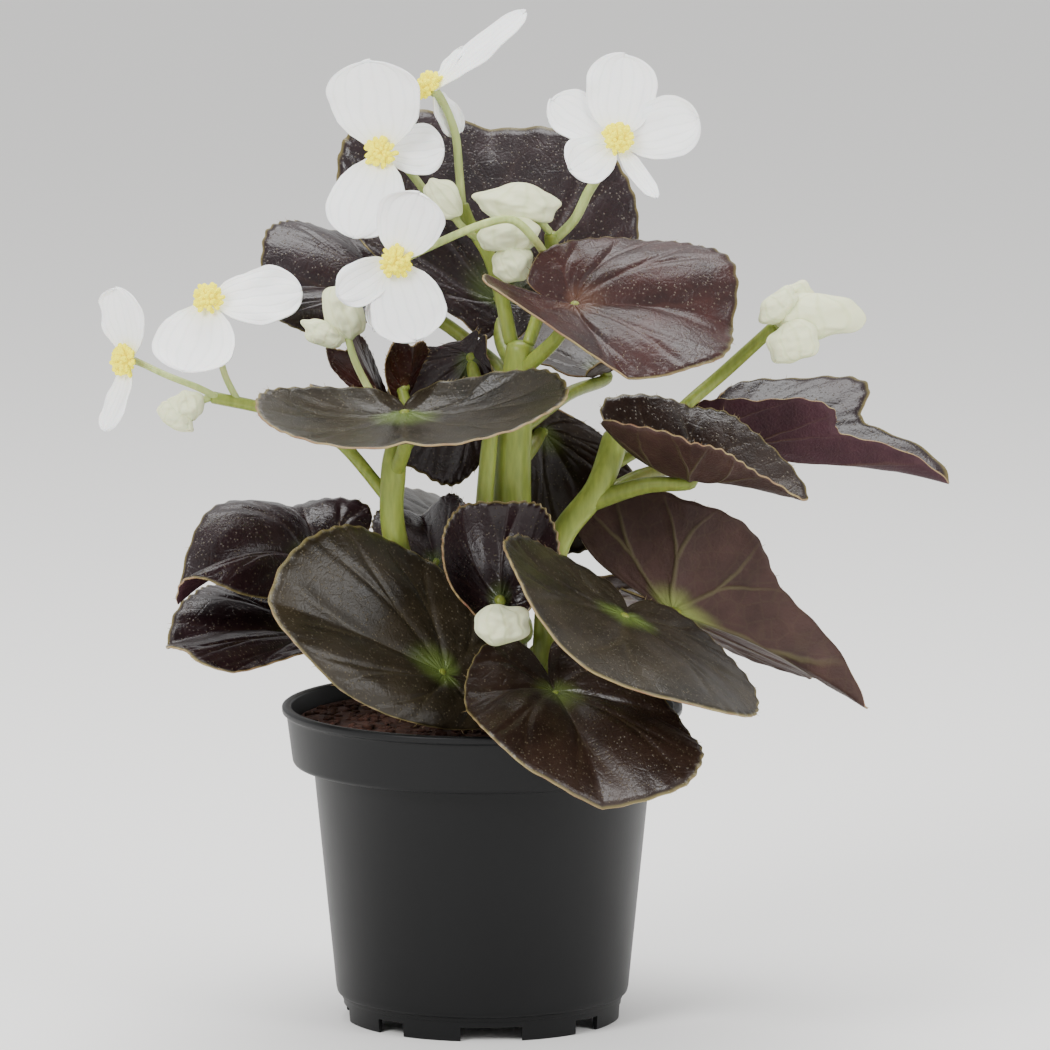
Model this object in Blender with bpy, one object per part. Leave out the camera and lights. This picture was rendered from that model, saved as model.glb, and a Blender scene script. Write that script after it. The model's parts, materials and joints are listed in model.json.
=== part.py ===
"""Potted begonia: dark kidney-shaped leaves, white flowers and pale buds on fleshy stems, in a nursery pot.

The origin is under the middle of the whole plant, at the surface it stands on, +Z up, and the plant's open
side faces -Y. The tables count from the pot's axis, which POT_AXIS places in that frame.
Sizes are in millimetres and degrees, and MM turns them into Blender's metres.
"""

import math

import bmesh
import bpy
from mathutils import Vector

MM = 0.001
GAP = 0.3  # clear space left where two pieces meet
POT_AXIS = (-11.45, -2.95, 0.0)  # where the pot's axis stands
STEEPEST = 0.6  # sine of the smallest angle at which a stalk leaves its stem

# Pot
POT_HEIGHT = 83.0
RIM_RADIUS = 52.5
BAND_TOP_RADIUS = 51.3
BAND_FOOT_RADIUS = 49.7
BAND_HEIGHT = 15.5
BODY_TOP_RADIUS = 44.3
BODY_FOOT_RADIUS = 38.4
FOOT_RADIUS = 36.2
STEP_HEIGHT = 7.5
FLOOR_HEIGHT = 4.0
POT_WALL = 1.2
POT_SIDES = 36
WIDE_NOTCH = 16.0
NARROW_NOTCH = 8.5
NOTCH_TURN = -86.0  # direction of the first wide notch
DRAIN_HOLES = 6
DRAIN_RADIUS = 3.0
DRAIN_RING_RADIUS = 22.0

# Potting soil
SOIL_LEVEL = 79.0
SOIL_MOUND = 1.5

# Leaf blades: angle from the tip, and the margin's reach there when the blade is 1 long
OUTLINE = ((0, 1.0), (25, 0.87), (50, 0.73), (75, 0.66), (100, 0.625), (125, 0.59), (150, 0.53),
(169, 0.37), (180, 0.14))
HALF_WIDTH = 0.64  # the outline's reach to each side
POINT_ANGLE = 35  # a pointed blade is narrowed most at this angle from its tip
POINT_SPREAD = 22
BLADE_THICKNESS = 0.8
PETAL_THICKNESS = 0.6
STAMEN_RADIUS = 3.0
STAMEN_GAP = 0.7
BUD_STALK_RADIUS = 1.0
BLADE_RINGS = (0.5, 1.0)
HUB_RADIUS = 1.9
NECK_RADIUS = 1.4
FOOT_RADIUS_OF_STALK = 2.1
STALK_SIDES = 8

# Each leaf: the blade's base on its stalk, its tip, and the middles of its left and right margins, seen from above.
# arch lifts the middle of the midrib, belly the middle of each half, and rear the two lobes behind the stalk.
# lobes stretch those lobes backwards, and point narrows the blade towards its tip.
# The stalk leaves its stem at a height and passes through points to the base.
LEAVES = {
    "leaf_back_top": dict(
        base=(4, 19, 187), tip=(2, 46, 229), left=(-38, 27, 214), right=(41, 25, 202), arch=3,
        belly=(2, 3), rear=(0, 0),
        lobes=(0.5, 0.4), stem="main_stem", height=170, through=((5, 12, 177),)),
    "leaf_left_back": dict(
        base=(-27, 16, 188), tip=(-58, 10, 190), left=(-44, 2, 180), right=(-42, 34, 204), arch=3,
        belly=(3, 4), rear=(2, 0),
        lobes=(1, 1), stem="main_stem", height=166, through=((2, 15, 172), (-14, 21, 183))),
    "leaf_right_top": dict(
        base=(24, -14, 190), tip=(65, -13, 184), left=(42, 10, 203), right=(38, -38, 174), arch=3,
        belly=(4, 2), rear=(2, 10),
        lobes=(0.8, 1.5), stem="main_stem", height=170, through=((19, -9, 180),)),
    "leaf_front_middle": dict(
        base=(-20, -22, 163), tip=(-19, -74, 162), left=(22, -34, 172), right=(-58, -30, 167), arch=-2,
        belly=(-2, -2),
        rear=(7, 6), lobes=(0.5, 0.5), stem="left_stem", height=145, through=((-20, -18, 153),)),
    "leaf_young_left": dict(
        base=(-27, 3, 164), tip=(-35, -5, 177), left=(-39, -2, 172), right=(-30, 8, 176), arch=1,
        belly=(-1, -1),
        rear=(0, 0), lobes=(1, 1), stem="left_stem", height=150, through=((-26, -3, 158),),
        foot_radius=1.5),
    "leaf_young_right": dict(
        base=(-20, 2, 166), tip=(-18, -5, 178), left=(-25, -6, 175), right=(-15, 5, 173), arch=1,
        belly=(-1, -1),
        rear=(0, 0), lobes=(1, 1), stem="left_stem", height=150, through=((-18, -5, 155),),
        foot_radius=1.5),
    "leaf_dark_centre": dict(
        base=(-3, 10, 173), tip=(-16, 13, 142), left=(4, 10, 154), right=(-23, 14, 168), arch=-1,
        belly=(1, 1), rear=(0, 0),
        lobes=(0.3, 0.3), stem="main_stem", height=157, through=((-1, 7, 166),)),
    "leaf_right_middle": dict(
        base=(54, -12, 145), tip=(85, -16, 140), left=(54, 4, 161), right=(54, -32, 156), arch=1,
        belly=(2, -2),
        rear=(6, 10), lobes=(1.7, 1.7), point=0.12, stem="right_stem", height=137,
        through=((42, -10, 142),), foot_radius=2.6),
    "leaf_far_right": dict(
        base=(53, 18, 145), tip=(124, 8, 139), left=(84, 40, 163), right=(72, 6, 162), arch=3,
        belly=(2, 2), rear=(2, 2),
        lobes=(0.2, 0.2), point=0.28, stem="right_stem", height=136, through=((41, 8, 142),),
        foot_radius=1.9),
    "leaf_low_right": dict(
        base=(50, 2, 107), tip=(101, -8, 83), left=(71, 20, 91), right=(54, 5, 136), arch=4,
        belly=(2, 3), rear=(0, 2),
        lobes=(0.7, 1.2), point=0.25, stem="right_stem", height=96, through=((32, 1, 105),),
        foot_radius=2.4),
    "leaf_front_right": dict(
        base=(37, -37, 112), tip=(33, -78, 103), left=(71, -45, 90), right=(6, -50, 134), arch=2,
        belly=(2, -2), rear=(0, 0),
        lobes=(1, 1), stem="right_stem", height=92, through=((31, -24, 105),), foot_radius=2.6),
    "leaf_cup": dict(
        base=(5, -25, 114), tip=(7, -18, 139), left=(-10, -33, 127), right=(20, -25, 126), arch=-3,
        belly=(-3, -3),
        rear=(4, 4), lobes=(0.6, 0.6), stem="main_stem", height=100, through=((4, -17, 108),)),
    "leaf_front_rim": dict(
        base=(19, -32, 91), tip=(31, -65, 66), left=(54, -47, 82), right=(-4, -48, 89), arch=5,
        belly=(3, 3), rear=(2, 1),
        lobes=(1.1, 0.9), stem="main_stem", height=84, through=((15, -22, 89),)),
    "leaf_front_left": dict(
        base=(-10, -30, 96), tip=(-55, -44, 117), left=(-24, -46, 87), right=(-22, -18, 128), arch=2,
        belly=(3, 2),
        rear=(0, 2), lobes=(0.9, 0.9), point=0.05, stem="left_stem", height=84, through=((-8, -20, 89),)),
    "leaf_left_dome": dict(
        base=(-44, 2, 119), tip=(-79, -22, 113), left=(-56, -22, 114), right=(-52, 22, 131), arch=7,
        belly=(6, 6),
        rear=(0, 0), lobes=(1, 1), stem="left_stem", height=93, through=((-30, 1, 109),),
        foot_radius=1.6),
    "leaf_left_low": dict(
        base=(-46, -6, 102), tip=(-82, -24, 102), left=(-64, -36, 97), right=(-62, 10, 111), arch=3,
        belly=(2, 3),
        rear=(0, 0), lobes=(1, 1), point=0.1, stem="left_stem", height=86, through=((-28, -4, 96),),
        foot_radius=1.8),
    "leaf_inner_left": dict(
        base=(-12, 4, 119), tip=(-16, 22, 129), left=(-28, 7, 125), right=(-3, 9, 130), arch=2,
        belly=(2, 2), rear=(0, 0),
        lobes=(1, 1), stem="left_stem", height=96, through=()),
    "leaf_behind_right": dict(
        base=(16, 20, 152), tip=(34, 26, 122), left=(38, 26, 143), right=(7, 24, 132), arch=-2,
        belly=(1, 1), rear=(0, 0),
        lobes=(0.6, 0.6), stem="main_stem", height=144, through=((13, 12, 149),)),
    "leaf_rear_low_left": dict(
        base=(-22, 30, 104), tip=(-42, 68, 97), left=(-47, 24, 106), right=(3, 48, 102), arch=4,
        belly=(3, 3), rear=(1, 1),
        lobes=(0.5, 0.5), stem="left_stem", height=88, through=((-15, 14, 98),)),
    "leaf_rear_low_right": dict(
        base=(28, 30, 104), tip=(44, 72, 94), left=(2, 44, 100), right=(56, 24, 106), arch=4,
        belly=(3, 3), rear=(2, 2),
        lobes=(1, 1), stem="main_stem", height=88, through=((18, 16, 98),)),
    "leaf_rear_middle": dict(
        base=(2, 40, 116), tip=(-2, 84, 120), left=(-26, 38, 127), right=(30, 42, 125), arch=3,
        belly=(2, 2), rear=(1, 1),
        lobes=(0.6, 0.4), stem="main_stem", height=108, through=((6, 22, 114),)),
    "leaf_rear_high": dict(
        base=(-10, 36, 150), tip=(-36, 68, 152), left=(-36, 30, 156), right=(10, 58, 158), arch=3,
        belly=(2, -2), rear=(3, 3),
        lobes=(0.8, 0.8), stem="main_stem", height=138, through=((0, 24, 146),)),
    "leaf_rear_right": dict(
        base=(32, 34, 166), tip=(54, 66, 172), left=(8, 54, 172), right=(56, 24, 176), arch=3,
        belly=(2, 2), rear=(3, 3),
        lobes=(0.8, 0.8), stem="main_stem", height=154, through=((22, 18, 162),)),
}

# Stems: centre line and radius from the soil upwards
STEMS = {
    "main_stem": ((6, 1, 68, 5.2), (7, 0, 110, 5.0), (8, 0, 148, 5.0), (9, 0, 166, 4.2),
    (10, 0, 177, 3.8)),
    "second_stem": ((-2, -8, 68, 2.4), (-1, -7.5, 110, 2.4), (1.5, -6, 148, 2.2), (3.5, -5, 163, 1.6)),
    "left_stem": ((-12, -3, 68, 3.4), (-17, -8, 106, 3.3), (-23, -13, 131, 3.2), (-23, -13, 146, 3.2),
    (-22, -12, 154, 2.6)),
    "right_stem": ((16, -5, 68, 4.0), (17, -7, 106, 3.4), (20, -8, 127, 3.2), (30, -8, 141, 3.4),
    (35, -5, 154, 3.6)),
}

# Flower stalks: what carries the foot and at what height, then centre line and radius to the last bud or fork
PEDUNCLES = {
    "peduncle_back": dict(route=((7.6, 1.4, 178.3, 1.9), (5, 4, 190, 1.9), (2, 6, 200, 1.8),
    (-3, 8, 208, 1.7), (-5, 9, 213, 1.6))),
    "peduncle_centre": dict(route=((12.2, -0.5, 178.3, 1.7), (16, 5, 189, 1.8), (18, 6, 199, 1.8),
    (18, 4, 206, 1.8))),
    "peduncle_left": dict(
        carrier=("left_stem", 138),
        route=((-36, -6, 152, 1.7), (-47, -2, 158, 1.6), (-57, 0, 161, 1.6), (-70, -1, 164, 1.6))),
    "peduncle_right": dict(
        carrier=("right_stem", 146),
        route=((46, 4, 153, 1.7), (52, 5, 160, 1.7), (63, 9, 169, 1.7), (76, 2, 182, 1.6))),
}

# Flowers: the face looks along facing; each petal is its tip and its width. The stalk leaves its carrier at a height.
FLOWERS = {
    "flower_top": dict(
        centre=(-13, 6, 244), facing=(-0.6, -0.3, 0.7),
        petals=(((11, 8, 264), 16), ((-5, 13, 254), 7), ((-6, 13, 232), 9)),
        foot=(-5.2, 9.2, 213.6), stalk=((-6, 9.5, 222), (-7, 9, 232), (-10, 8, 240)), radius=1.1, cup=-2),
    "flower_upper": dict(
        centre=(-26, 0, 228), facing=(-0.35, -0.9, 0.1),
        petals=(((-29, -2, 252), 25), ((-33, -9, 207), 20), ((-10, 3, 229), 13)),
        carrier=("peduncle_back", 208.5), stalk=((-11, 11, 212), (-19, 10, 222), (-24, 5, 227)),
        radius=1.1, cup=2),
    "flower_middle": dict(
        centre=(-22, -20, 202), facing=(0, -0.98, 0.1),
        petals=(((-16, -22, 220), 17), ((-17, -24, 182), 19), ((-37, -22, 193), 11),
        ((-28, -17, 184), 7)),
        carrier=("peduncle_centre", 198),
        stalk=((14, -10, 206), (8, -14, 212), (0, -16, 211), (-12, -16, 206)), radius=1.1, cup=2),
    "flower_left": dict(
        centre=(-71, -6, 190), facing=(-0.1, -0.75, 0.65),
        petals=(((-47, -2, 192), 17), ((-77, -17, 173), 21)),
        carrier=("peduncle_left", 162.5), stalk=((-67, -1, 170), (-69, -1, 179), (-70.5, -3, 187)),
        radius=0.9, cup=2),
    "flower_far_left": dict(
        centre=(-92, -3, 174), facing=(-0.75, -0.65, 0.1),
        petals=(((-95, -4, 193), 16), ((-98, -6, 156), 9)),
        carrier=("peduncle_left", 163.6), stalk=((-74, -4, 167), (-82, -3, 170), (-89, -1, 173)),
        radius=0.9, cup=2),
    "flower_right": dict(
        centre=(35, -7, 232), facing=(0.15, -0.9, 0.45),
        petals=(((37, 2, 253), 18), ((18, -3, 242), 13), ((23, -13, 225), 13), ((56, -2, 237), 16),
        ((45, -15, 218), 5)),
        carrier=("peduncle_centre", 204), stalk=((24, 3, 210), (28, 2, 218), (33, -2, 226)), radius=1.3,
        cup=2),
}

# Closed buds: flat rounded lenses grown together on a short stalk, each with its centre, half sizes and tilt
BUDS = {
    "buds_centre": dict(
        foot=(17.5, 3.4, 206.9), stalk=((15, 1, 210),),
        lenses=(((10, -3, 215), (11, 4, 4.5), -5), ((7, -5, 207), (8, 4, 4.5), 10), ((8, -5, 200),
        (5, 3.5, 4.5), 25))),
    "buds_back": dict(carrier=("peduncle_back", 204), stalk=((-6, 4, 209),),
    lenses=(((-10, 2, 216), (4, 1.5, 5.5), 40),)),
    "buds_left": dict(
        foot=(-22.4, -12, 154.9), stalk=((-27, -9, 163), (-33, -10, 175)),
        lenses=(((-36, -10, 187), (5, 3.5, 7), 20), ((-41, -11, 182), (6, 2.5, 3), -25))),
    "buds_far_left": dict(
        foot=(-71.0, -1.1, 163.9), stalk=(),
        lenses=(((-77, -2, 162), (4.5, 3, 4), 10), ((-80, -3, 159), (5.5, 2, 2.5), -35))),
    "buds_right": dict(
        foot=(76.6, 1.6, 182.6), stalk=(),
        lenses=(((87, 0, 185), (11, 4, 6), 0), ((77, -2, 188), (6, 3, 3.5), 40), ((81, 3, 189),
        (5.5, 2.5, 4), 40),
                ((81, -4, 179), (7, 3.5, 5), 20))),
    "buds_low": dict(
        carrier=("main_stem", 98), stalk=((12, -15, 103), (11, -32, 111)),
        lenses=(((5, -43, 111), (7, 4, 5), 10),)),
}

# Colour and roughness
FINISHES = {
    "pot_plastic": ((0.012, 0.013, 0.014), 0.42),
    "peat": ((0.035, 0.018, 0.012), 0.95),
    "stem_green": ((0.28, 0.34, 0.06), 0.4),
    "leaf_bronze": ((0.035, 0.014, 0.012), 0.35),
    "petal_white": ((0.85, 0.85, 0.83), 0.55),
    "stamen_yellow": ((0.9, 0.6, 0.0), 0.6),
    "bud_cream": ((0.66, 0.7, 0.42), 0.5),
}


def material(finish):
    """The named finish as a Principled material."""
    found = bpy.data.materials.get(finish)
    if found:
        return found
    colour, roughness = FINISHES[finish]
    made = bpy.data.materials.new(finish)
    made.use_nodes = True
    shader = made.node_tree.nodes["Principled BSDF"]
    shader.inputs["Base Color"].default_value = (*colour, 1)
    shader.inputs["Roughness"].default_value = roughness
    return made


def add_object(name, mesh_builder, finish):
    """Link a finished bmesh as a smooth-shaded object, with its outside facing out."""
    bmesh.ops.recalc_face_normals(mesh_builder, faces=mesh_builder.faces)
    bmesh.ops.triangulate(mesh_builder, faces=mesh_builder.faces)
    mesh = bpy.data.meshes.new(name)
    mesh_builder.to_mesh(mesh)
    mesh_builder.free()
    mesh.transform(((MM, 0, 0, 0), (0, MM, 0, 0), (0, 0, MM, 0), (0, 0, 0, 1)))
    mesh.materials.append(material(finish))
    made = bpy.data.objects.new(name, mesh)
    bpy.context.scene.collection.objects.link(made)
    mesh.shade_smooth()
    mesh.set_sharp_from_angle(angle=math.radians(40))
    return made


def boolean(target, tool, operation):
    """Cut or join target with tool, which stays in the file as a hidden guide."""
    tool.hide_render = True
    tool.display_type = "WIRE"
    step = target.modifiers.new(tool.name, "BOOLEAN")
    step.object = tool
    step.operation = operation


def smooth_route(points, steps=2):
    """Points of a Catmull-Rom curve through the given ones, each with any further values it carries."""
    ends = [points[0], *points, points[-1]]
    route = []
    for p0, p1, p2, p3 in zip(ends, ends[1:], ends[2:], ends[3:]):
        for step in range(steps):
            t = step / steps
            route.append([
                0.5 * (2 * b + (c - a) * t + (2 * a - 5 * b + 4 * c - d) * t * t + (3 * b - a - 3 * c + d) * t ** 3)
                for a, b, c, d in zip(p0, p1, p2, p3)])
    route.append(list(points[-1]))
    return route


def add_ring(build, centre, across, along, radius, sides):
    """A ring of vertices around centre; across and along span its plane."""
    turns = [math.tau * side / sides for side in range(sides)]
    return [build.verts.new(centre + (across * math.cos(turn) + along * math.sin(turn)) * radius) for turn in turns]


def bridge(build, first, second):
    """Faces between two rings, the first with as many or twice as many vertices as the second."""
    ratio = len(first) // len(second)
    for place, vertex in enumerate(second):
        following = second[(place + 1) % len(second)]
        span = [first[(place * ratio + step) % len(first)] for step in range(ratio + 1)]
        build.faces.new((span[-1], following, vertex, span[-2]) if ratio == 1 else (span[-1], following, span[-2]))
        if ratio == 2:
            build.faces.new((following, vertex, span[1]))
            build.faces.new((vertex, span[0], span[1]))


def add_tube(build, route, sides, start=None, across=None):
    """A tube along points that carry a radius, from an open ring or a closed end to a closed end."""
    centres = [Vector(point[:3]) for point in route]
    across = across or (centres[1] - centres[0]).orthogonal()
    previous = start
    for place, centre in enumerate(centres):
        heading = centres[min(place + 1, len(centres) - 1)] - centres[max(place - 1, 0)]
        heading.normalize()
        across = (across - heading * across.dot(heading)).normalized()
        ring = add_ring(build, centre, across, heading.cross(across), route[place][3], sides)
        if previous:
            bridge(build, previous, ring)
        else:
            build.faces.new(ring)
        previous = ring
    build.faces.new(previous)


def on_stem(stem, height):
    """Centre, heading and radius of a stem or flower stalk where it passes a height."""
    route = smooth_route(ROUTES[stem])
    for lower, upper in zip(route, route[1:]):
        if upper[2] >= height:
            break
    share = min((height - lower[2]) / (upper[2] - lower[2]), 1)
    place = [a + (b - a) * share for a, b in zip(lower, upper)]
    heading = (Vector(upper[:3]) - Vector(lower[:3])).normalized()
    return Vector(place[:3]), heading, place[3]


def seat(stem, height, toward, radius):
    """Where a stalk's flat foot of this radius clears its stem by the gap, heading towards a point."""
    centre, axis, stem_radius = on_stem(stem, height)
    heading = (Vector(toward) - centre).normalized()
    lean = abs(heading.dot(axis))
    reach = (stem_radius + GAP + radius * lean * 0.6) / max(math.sqrt(1 - lean * lean), STEEPEST)
    return centre + heading * reach


def leaf_frame(leaf):
    """A leaf's base, its midrib vector, the vectors to its two side margins and its upward direction."""
    base = Vector(leaf["base"])
    along = Vector(leaf["tip"]) - base
    sides = [Vector(leaf[side]) - base for side in ("left", "right")]
    up = (sides[1] - sides[0]).cross(along).normalized()
    return base, along, sides, up


def blade_point(leaf, angle, margin, reach):
    """A point on the blade's middle surface: angle from the tip, right positive, and share of the way to the margin."""
    base, along, sides, up = leaf_frame(leaf)
    side = int(angle > 0)
    behind = min(max((abs(angle) - 90) / 50, 0), 1) * min((180 - abs(angle)) / 20, 1)
    margin *= 1 - leaf.get("point", 0) * math.exp(-((abs(angle) - POINT_ANGLE) / POINT_SPREAD) ** 2)
    forward = margin * reach * math.cos(math.radians(angle))
    outward = margin * reach * abs(math.sin(math.radians(angle))) / HALF_WIDTH
    if forward < 0:
        forward *= 1 + (leaf["lobes"][side] - 1) * behind
    lift = leaf["arch"] * 4 * max(forward, 0) * (1 - forward)
    lift += leaf["belly"][side] * 4 * outward * (1 - outward)
    lift += leaf["rear"][side] * behind * reach ** 2
    return base + along * forward + sides[side] * outward + up * lift


def make_leaf(name, leaf):
    """A blade with its stalk, as one closed skin: top, underside and margin, and a tube from under the base."""
    build = bmesh.new()
    spokes = [(angle, margin) for angle, margin in OUTLINE]
    spokes += [(-angle, margin) for angle, margin in reversed(OUTLINE[1:-1])]
    base, along, sides, up = leaf_frame(leaf)
    hub = [blade_point(leaf, angle, 1, HUB_RADIUS / along.length) for angle, margin in spokes]
    rings = [[blade_point(leaf, angle, margin, reach) for angle, margin in spokes] for reach in BLADE_RINGS]
    tops, bottoms = [], []
    for number, ring in enumerate([hub, *rings]):
        inner = [base] * len(spokes) if number == 0 else [hub, *rings][number - 1]
        upper, lower = [], []
        for place, point in enumerate(ring):
            around = ring[(place + 1) % len(ring)] - ring[place - 1]
            normal = around.cross(point - inner[place]).normalized()
            normal = normal if normal.dot(up) > -0.2 else -normal
            half = BLADE_THICKNESS / 2
            upper.append(build.verts.new(point + normal * half))
            lower.append(build.verts.new(point - normal * half))
        tops.append(upper)
        bottoms.append(lower)
    middle = build.verts.new(base + up * BLADE_THICKNESS / 2)
    for place, vertex in enumerate(tops[0]):
        build.faces.new((vertex, tops[0][(place + 1) % len(spokes)], middle))
    for inner, outer in zip(tops, tops[1:]):
        bridge(build, outer, inner)
    for inner, outer in zip(bottoms, bottoms[1:]):
        bridge(build, outer, inner)
    bridge(build, tops[-1], bottoms[-1])

    neck = base - up * 2.5
    through = [neck, *[Vector(point) for point in reversed(leaf["through"])]]
    foot_radius = leaf.get("foot_radius", FOOT_RADIUS_OF_STALK)
    through.append(seat(leaf["stem"], leaf["height"], through[-1], foot_radius))
    spread = (foot_radius - NECK_RADIUS) / (len(through) - 1)
    route = smooth_route([(*point, NECK_RADIUS + spread * place) for place, point in enumerate(through)])
    add_tube(build, route, STALK_SIDES, start=bottoms[0], across=along)
    return add_object(name, build, "leaf_bronze")


def make_stem(name, points, finish="stem_green", sides=10):
    build = bmesh.new()
    add_tube(build, smooth_route(points), sides)
    return add_object(name, build, finish)


def add_petal(build, centre, facing, tip, width, cup):
    """A thin rounded petal from the flower's centre to its tip, as a closed sheet."""
    length = Vector(tip) - Vector(centre)
    across = length.cross(Vector(facing)).normalized() * width / 2
    up = across.cross(length).normalized()
    shares = ((0.02, 0.16), (0.25, 0.62), (0.5, 0.95), (0.75, 0.98), (0.93, 0.6), (1.0, 0.2))
    skins = []
    for height in (PETAL_THICKNESS / 2, -PETAL_THICKNESS / 2):
        rows = []
        for forward, spread in shares:
            bend = up * cup * 4 * forward * (1 - forward) * -0.5
            middle = Vector(centre) + length * forward + bend
            rows.append([
                build.verts.new(middle + across * spread * turn + up * (cup * 0.35 * abs(turn) * spread + height))
                for turn in (-1, -0.4, 0.4, 1)])
        skins.append(rows)
    for rows in skins:
        for near, far in zip(rows, rows[1:]):
            for place in range(3):
                build.faces.new((near[place], near[place + 1], far[place + 1], far[place]))
    rims = []
    for rows in skins:
        rims.append([*rows[0], *[row[-1] for row in rows[1:-1]], *reversed(rows[-1]), *[row[0] for row in reversed(rows[1:-1])]])
    bridge(build, rims[0], rims[1])


def add_lump(build, centre, half_sizes, tilt=0.0):
    """A rounded lump with its long axis tilted in the front plane."""
    made = bmesh.ops.create_icosphere(build, subdivisions=2, radius=1)
    turn = math.radians(tilt)
    for vertex in made["verts"]:
        x, y, z = (value * half for value, half in zip(vertex.co, half_sizes))
        vertex.co = Vector(centre) + Vector((x * math.cos(turn) - z * math.sin(turn), y, x * math.sin(turn) + z * math.cos(turn)))


def make_flower(name, flower):
    """Petals grown together at the head of their stalk, and the stamens as a knot in front of them."""
    facing = Vector(flower["facing"]).normalized()
    centre = Vector(flower["centre"])
    stalk = bmesh.new()
    head = centre - facing * 0.6
    foot = flower.get("foot") or seat(*flower["carrier"], flower["stalk"][0], flower["radius"])
    points = [*[(*point, flower["radius"]) for point in (foot, *flower["stalk"])],
    (*head, flower["radius"] + 0.7)]
    add_tube(stalk, smooth_route(points), 6)
    whole = add_object(name, stalk, "petal_white")
    for number, (tip, width) in enumerate(flower["petals"]):
        petal = bmesh.new()
        root = centre - facing * (0.4 + 0.25 * number)
        add_petal(petal, root, facing, tip, width, flower["cup"])
        boolean(whole, add_object(f"{name}_petal_guide_{number}", petal, "petal_white"), "UNION")
    stamens = bmesh.new()
    add_lump(stamens, centre + facing * (STAMEN_RADIUS + STAMEN_GAP), [STAMEN_RADIUS] * 3)
    add_object(f"{name}_stamens", stamens, "stamen_yellow")


def make_buds(name, cluster):
    """A cluster of closed buds grown together at the head of a short stalk."""
    stalk = bmesh.new()
    points = [*cluster["stalk"], cluster["lenses"][0][0]]
    points.insert(0, cluster.get("foot") or seat(*cluster["carrier"], points[0], BUD_STALK_RADIUS))
    add_tube(stalk, smooth_route([(*point, BUD_STALK_RADIUS) for point in points]), 6)
    whole = add_object(name, stalk, "bud_cream")
    for number, lens in enumerate(cluster["lenses"]):
        other = bmesh.new()
        add_lump(other, *lens)
        boolean(whole, add_object(f"{name}_guide_{number}", other, "bud_cream"), "UNION")


def turned(name, profile, finish, sides=POT_SIDES):
    """A closed outline of radius and height turned around the pot's axis; a radius of 0 lies on the axis."""
    build = bmesh.new()
    rings = []
    for radius, height in profile:
        if radius == 0:
            rings.append([build.verts.new((0, 0, height))])
        else:
            rings.append(add_ring(build, Vector((0, 0, height)), Vector((1, 0, 0)), Vector((0, 1, 0)), radius, sides))
    for first, second in zip(rings, rings[1:]):
        if len(first) == len(second):
            bridge(build, first, second)
            continue
        centre, ring = (first[0], second) if len(first) == 1 else (second[0], first)
        for place, vertex in enumerate(ring):
            build.faces.new((vertex, ring[(place + 1) % sides], centre))
    return add_object(name, build, finish)


def add_cutter(name, centre, size, turn):
    """A box that cuts through the foot ring at an angle around the pot's axis."""
    build = bmesh.new()
    bmesh.ops.create_cube(build, size=1)
    bmesh.ops.scale(build, verts=build.verts, vec=size)
    bmesh.ops.translate(build, verts=build.verts, vec=centre)
    made = add_object(name, build, "pot_plastic")
    made.rotation_euler.z = math.radians(turn)
    return made


def make_pot():
    """A thin-walled moulded pot: rim band, tapering body, stepped foot ring with notches, and a floor with holes."""
    band_foot = POT_HEIGHT - BAND_HEIGHT
    taper = (BODY_TOP_RADIUS - BODY_FOOT_RADIUS) / (band_foot - STEP_HEIGHT)
    inner_floor = FLOOR_HEIGHT + POT_WALL
    outside = (
        (FOOT_RADIUS - POT_WALL, FLOOR_HEIGHT), (FOOT_RADIUS - POT_WALL, 0), (FOOT_RADIUS - 0.4, 0),
        (FOOT_RADIUS, 0.6), (FOOT_RADIUS + 0.4, STEP_HEIGHT - 1.5),
        (BODY_FOOT_RADIUS - 0.3, STEP_HEIGHT - 0.6),
        (BODY_FOOT_RADIUS, STEP_HEIGHT + 0.6), (BODY_TOP_RADIUS, band_foot),
        (BAND_FOOT_RADIUS - 1.2, band_foot),
        (BAND_FOOT_RADIUS, band_foot + 1.2), (BAND_TOP_RADIUS, POT_HEIGHT - 2.2),
        (RIM_RADIUS - 0.1, POT_HEIGHT - 1.6),
        (RIM_RADIUS, POT_HEIGHT - 0.7), (RIM_RADIUS - 0.6, POT_HEIGHT))
    inside = (
        (BAND_TOP_RADIUS - POT_WALL, POT_HEIGHT - 0.6),
        (BAND_FOOT_RADIUS - POT_WALL, band_foot + POT_WALL + 0.6),
        (BODY_TOP_RADIUS - POT_WALL, band_foot + POT_WALL),
        (BODY_FOOT_RADIUS - POT_WALL - taper * (STEP_HEIGHT - inner_floor), inner_floor))
    pot = turned("nursery_pot", ((0, FLOOR_HEIGHT), *outside, *inside, (0, inner_floor)), "pot_plastic")
    for number in range(8):
        width = NARROW_NOTCH if number % 2 else WIDE_NOTCH
        turn = NOTCH_TURN + 45 * number
        notch = add_cutter(f"notch_guide_{number}", (FOOT_RADIUS, 0, 0),
        (2 * POT_WALL + 4, width, 2 * FLOOR_HEIGHT - 0.6), turn)
        boolean(pot, notch, "DIFFERENCE")
    for number in range(DRAIN_HOLES):
        turn = math.tau * (number + 0.5) / DRAIN_HOLES
        place = Vector((math.cos(turn), math.sin(turn), 0)) * DRAIN_RING_RADIUS
        hole = bmesh.new()
        add_tube(hole, [(place.x, place.y, 1, DRAIN_RADIUS), (place.x, place.y, 9, DRAIN_RADIUS)], 10)
        boolean(pot, add_object(f"drain_guide_{number}", hole, "pot_plastic"), "DIFFERENCE")


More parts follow.
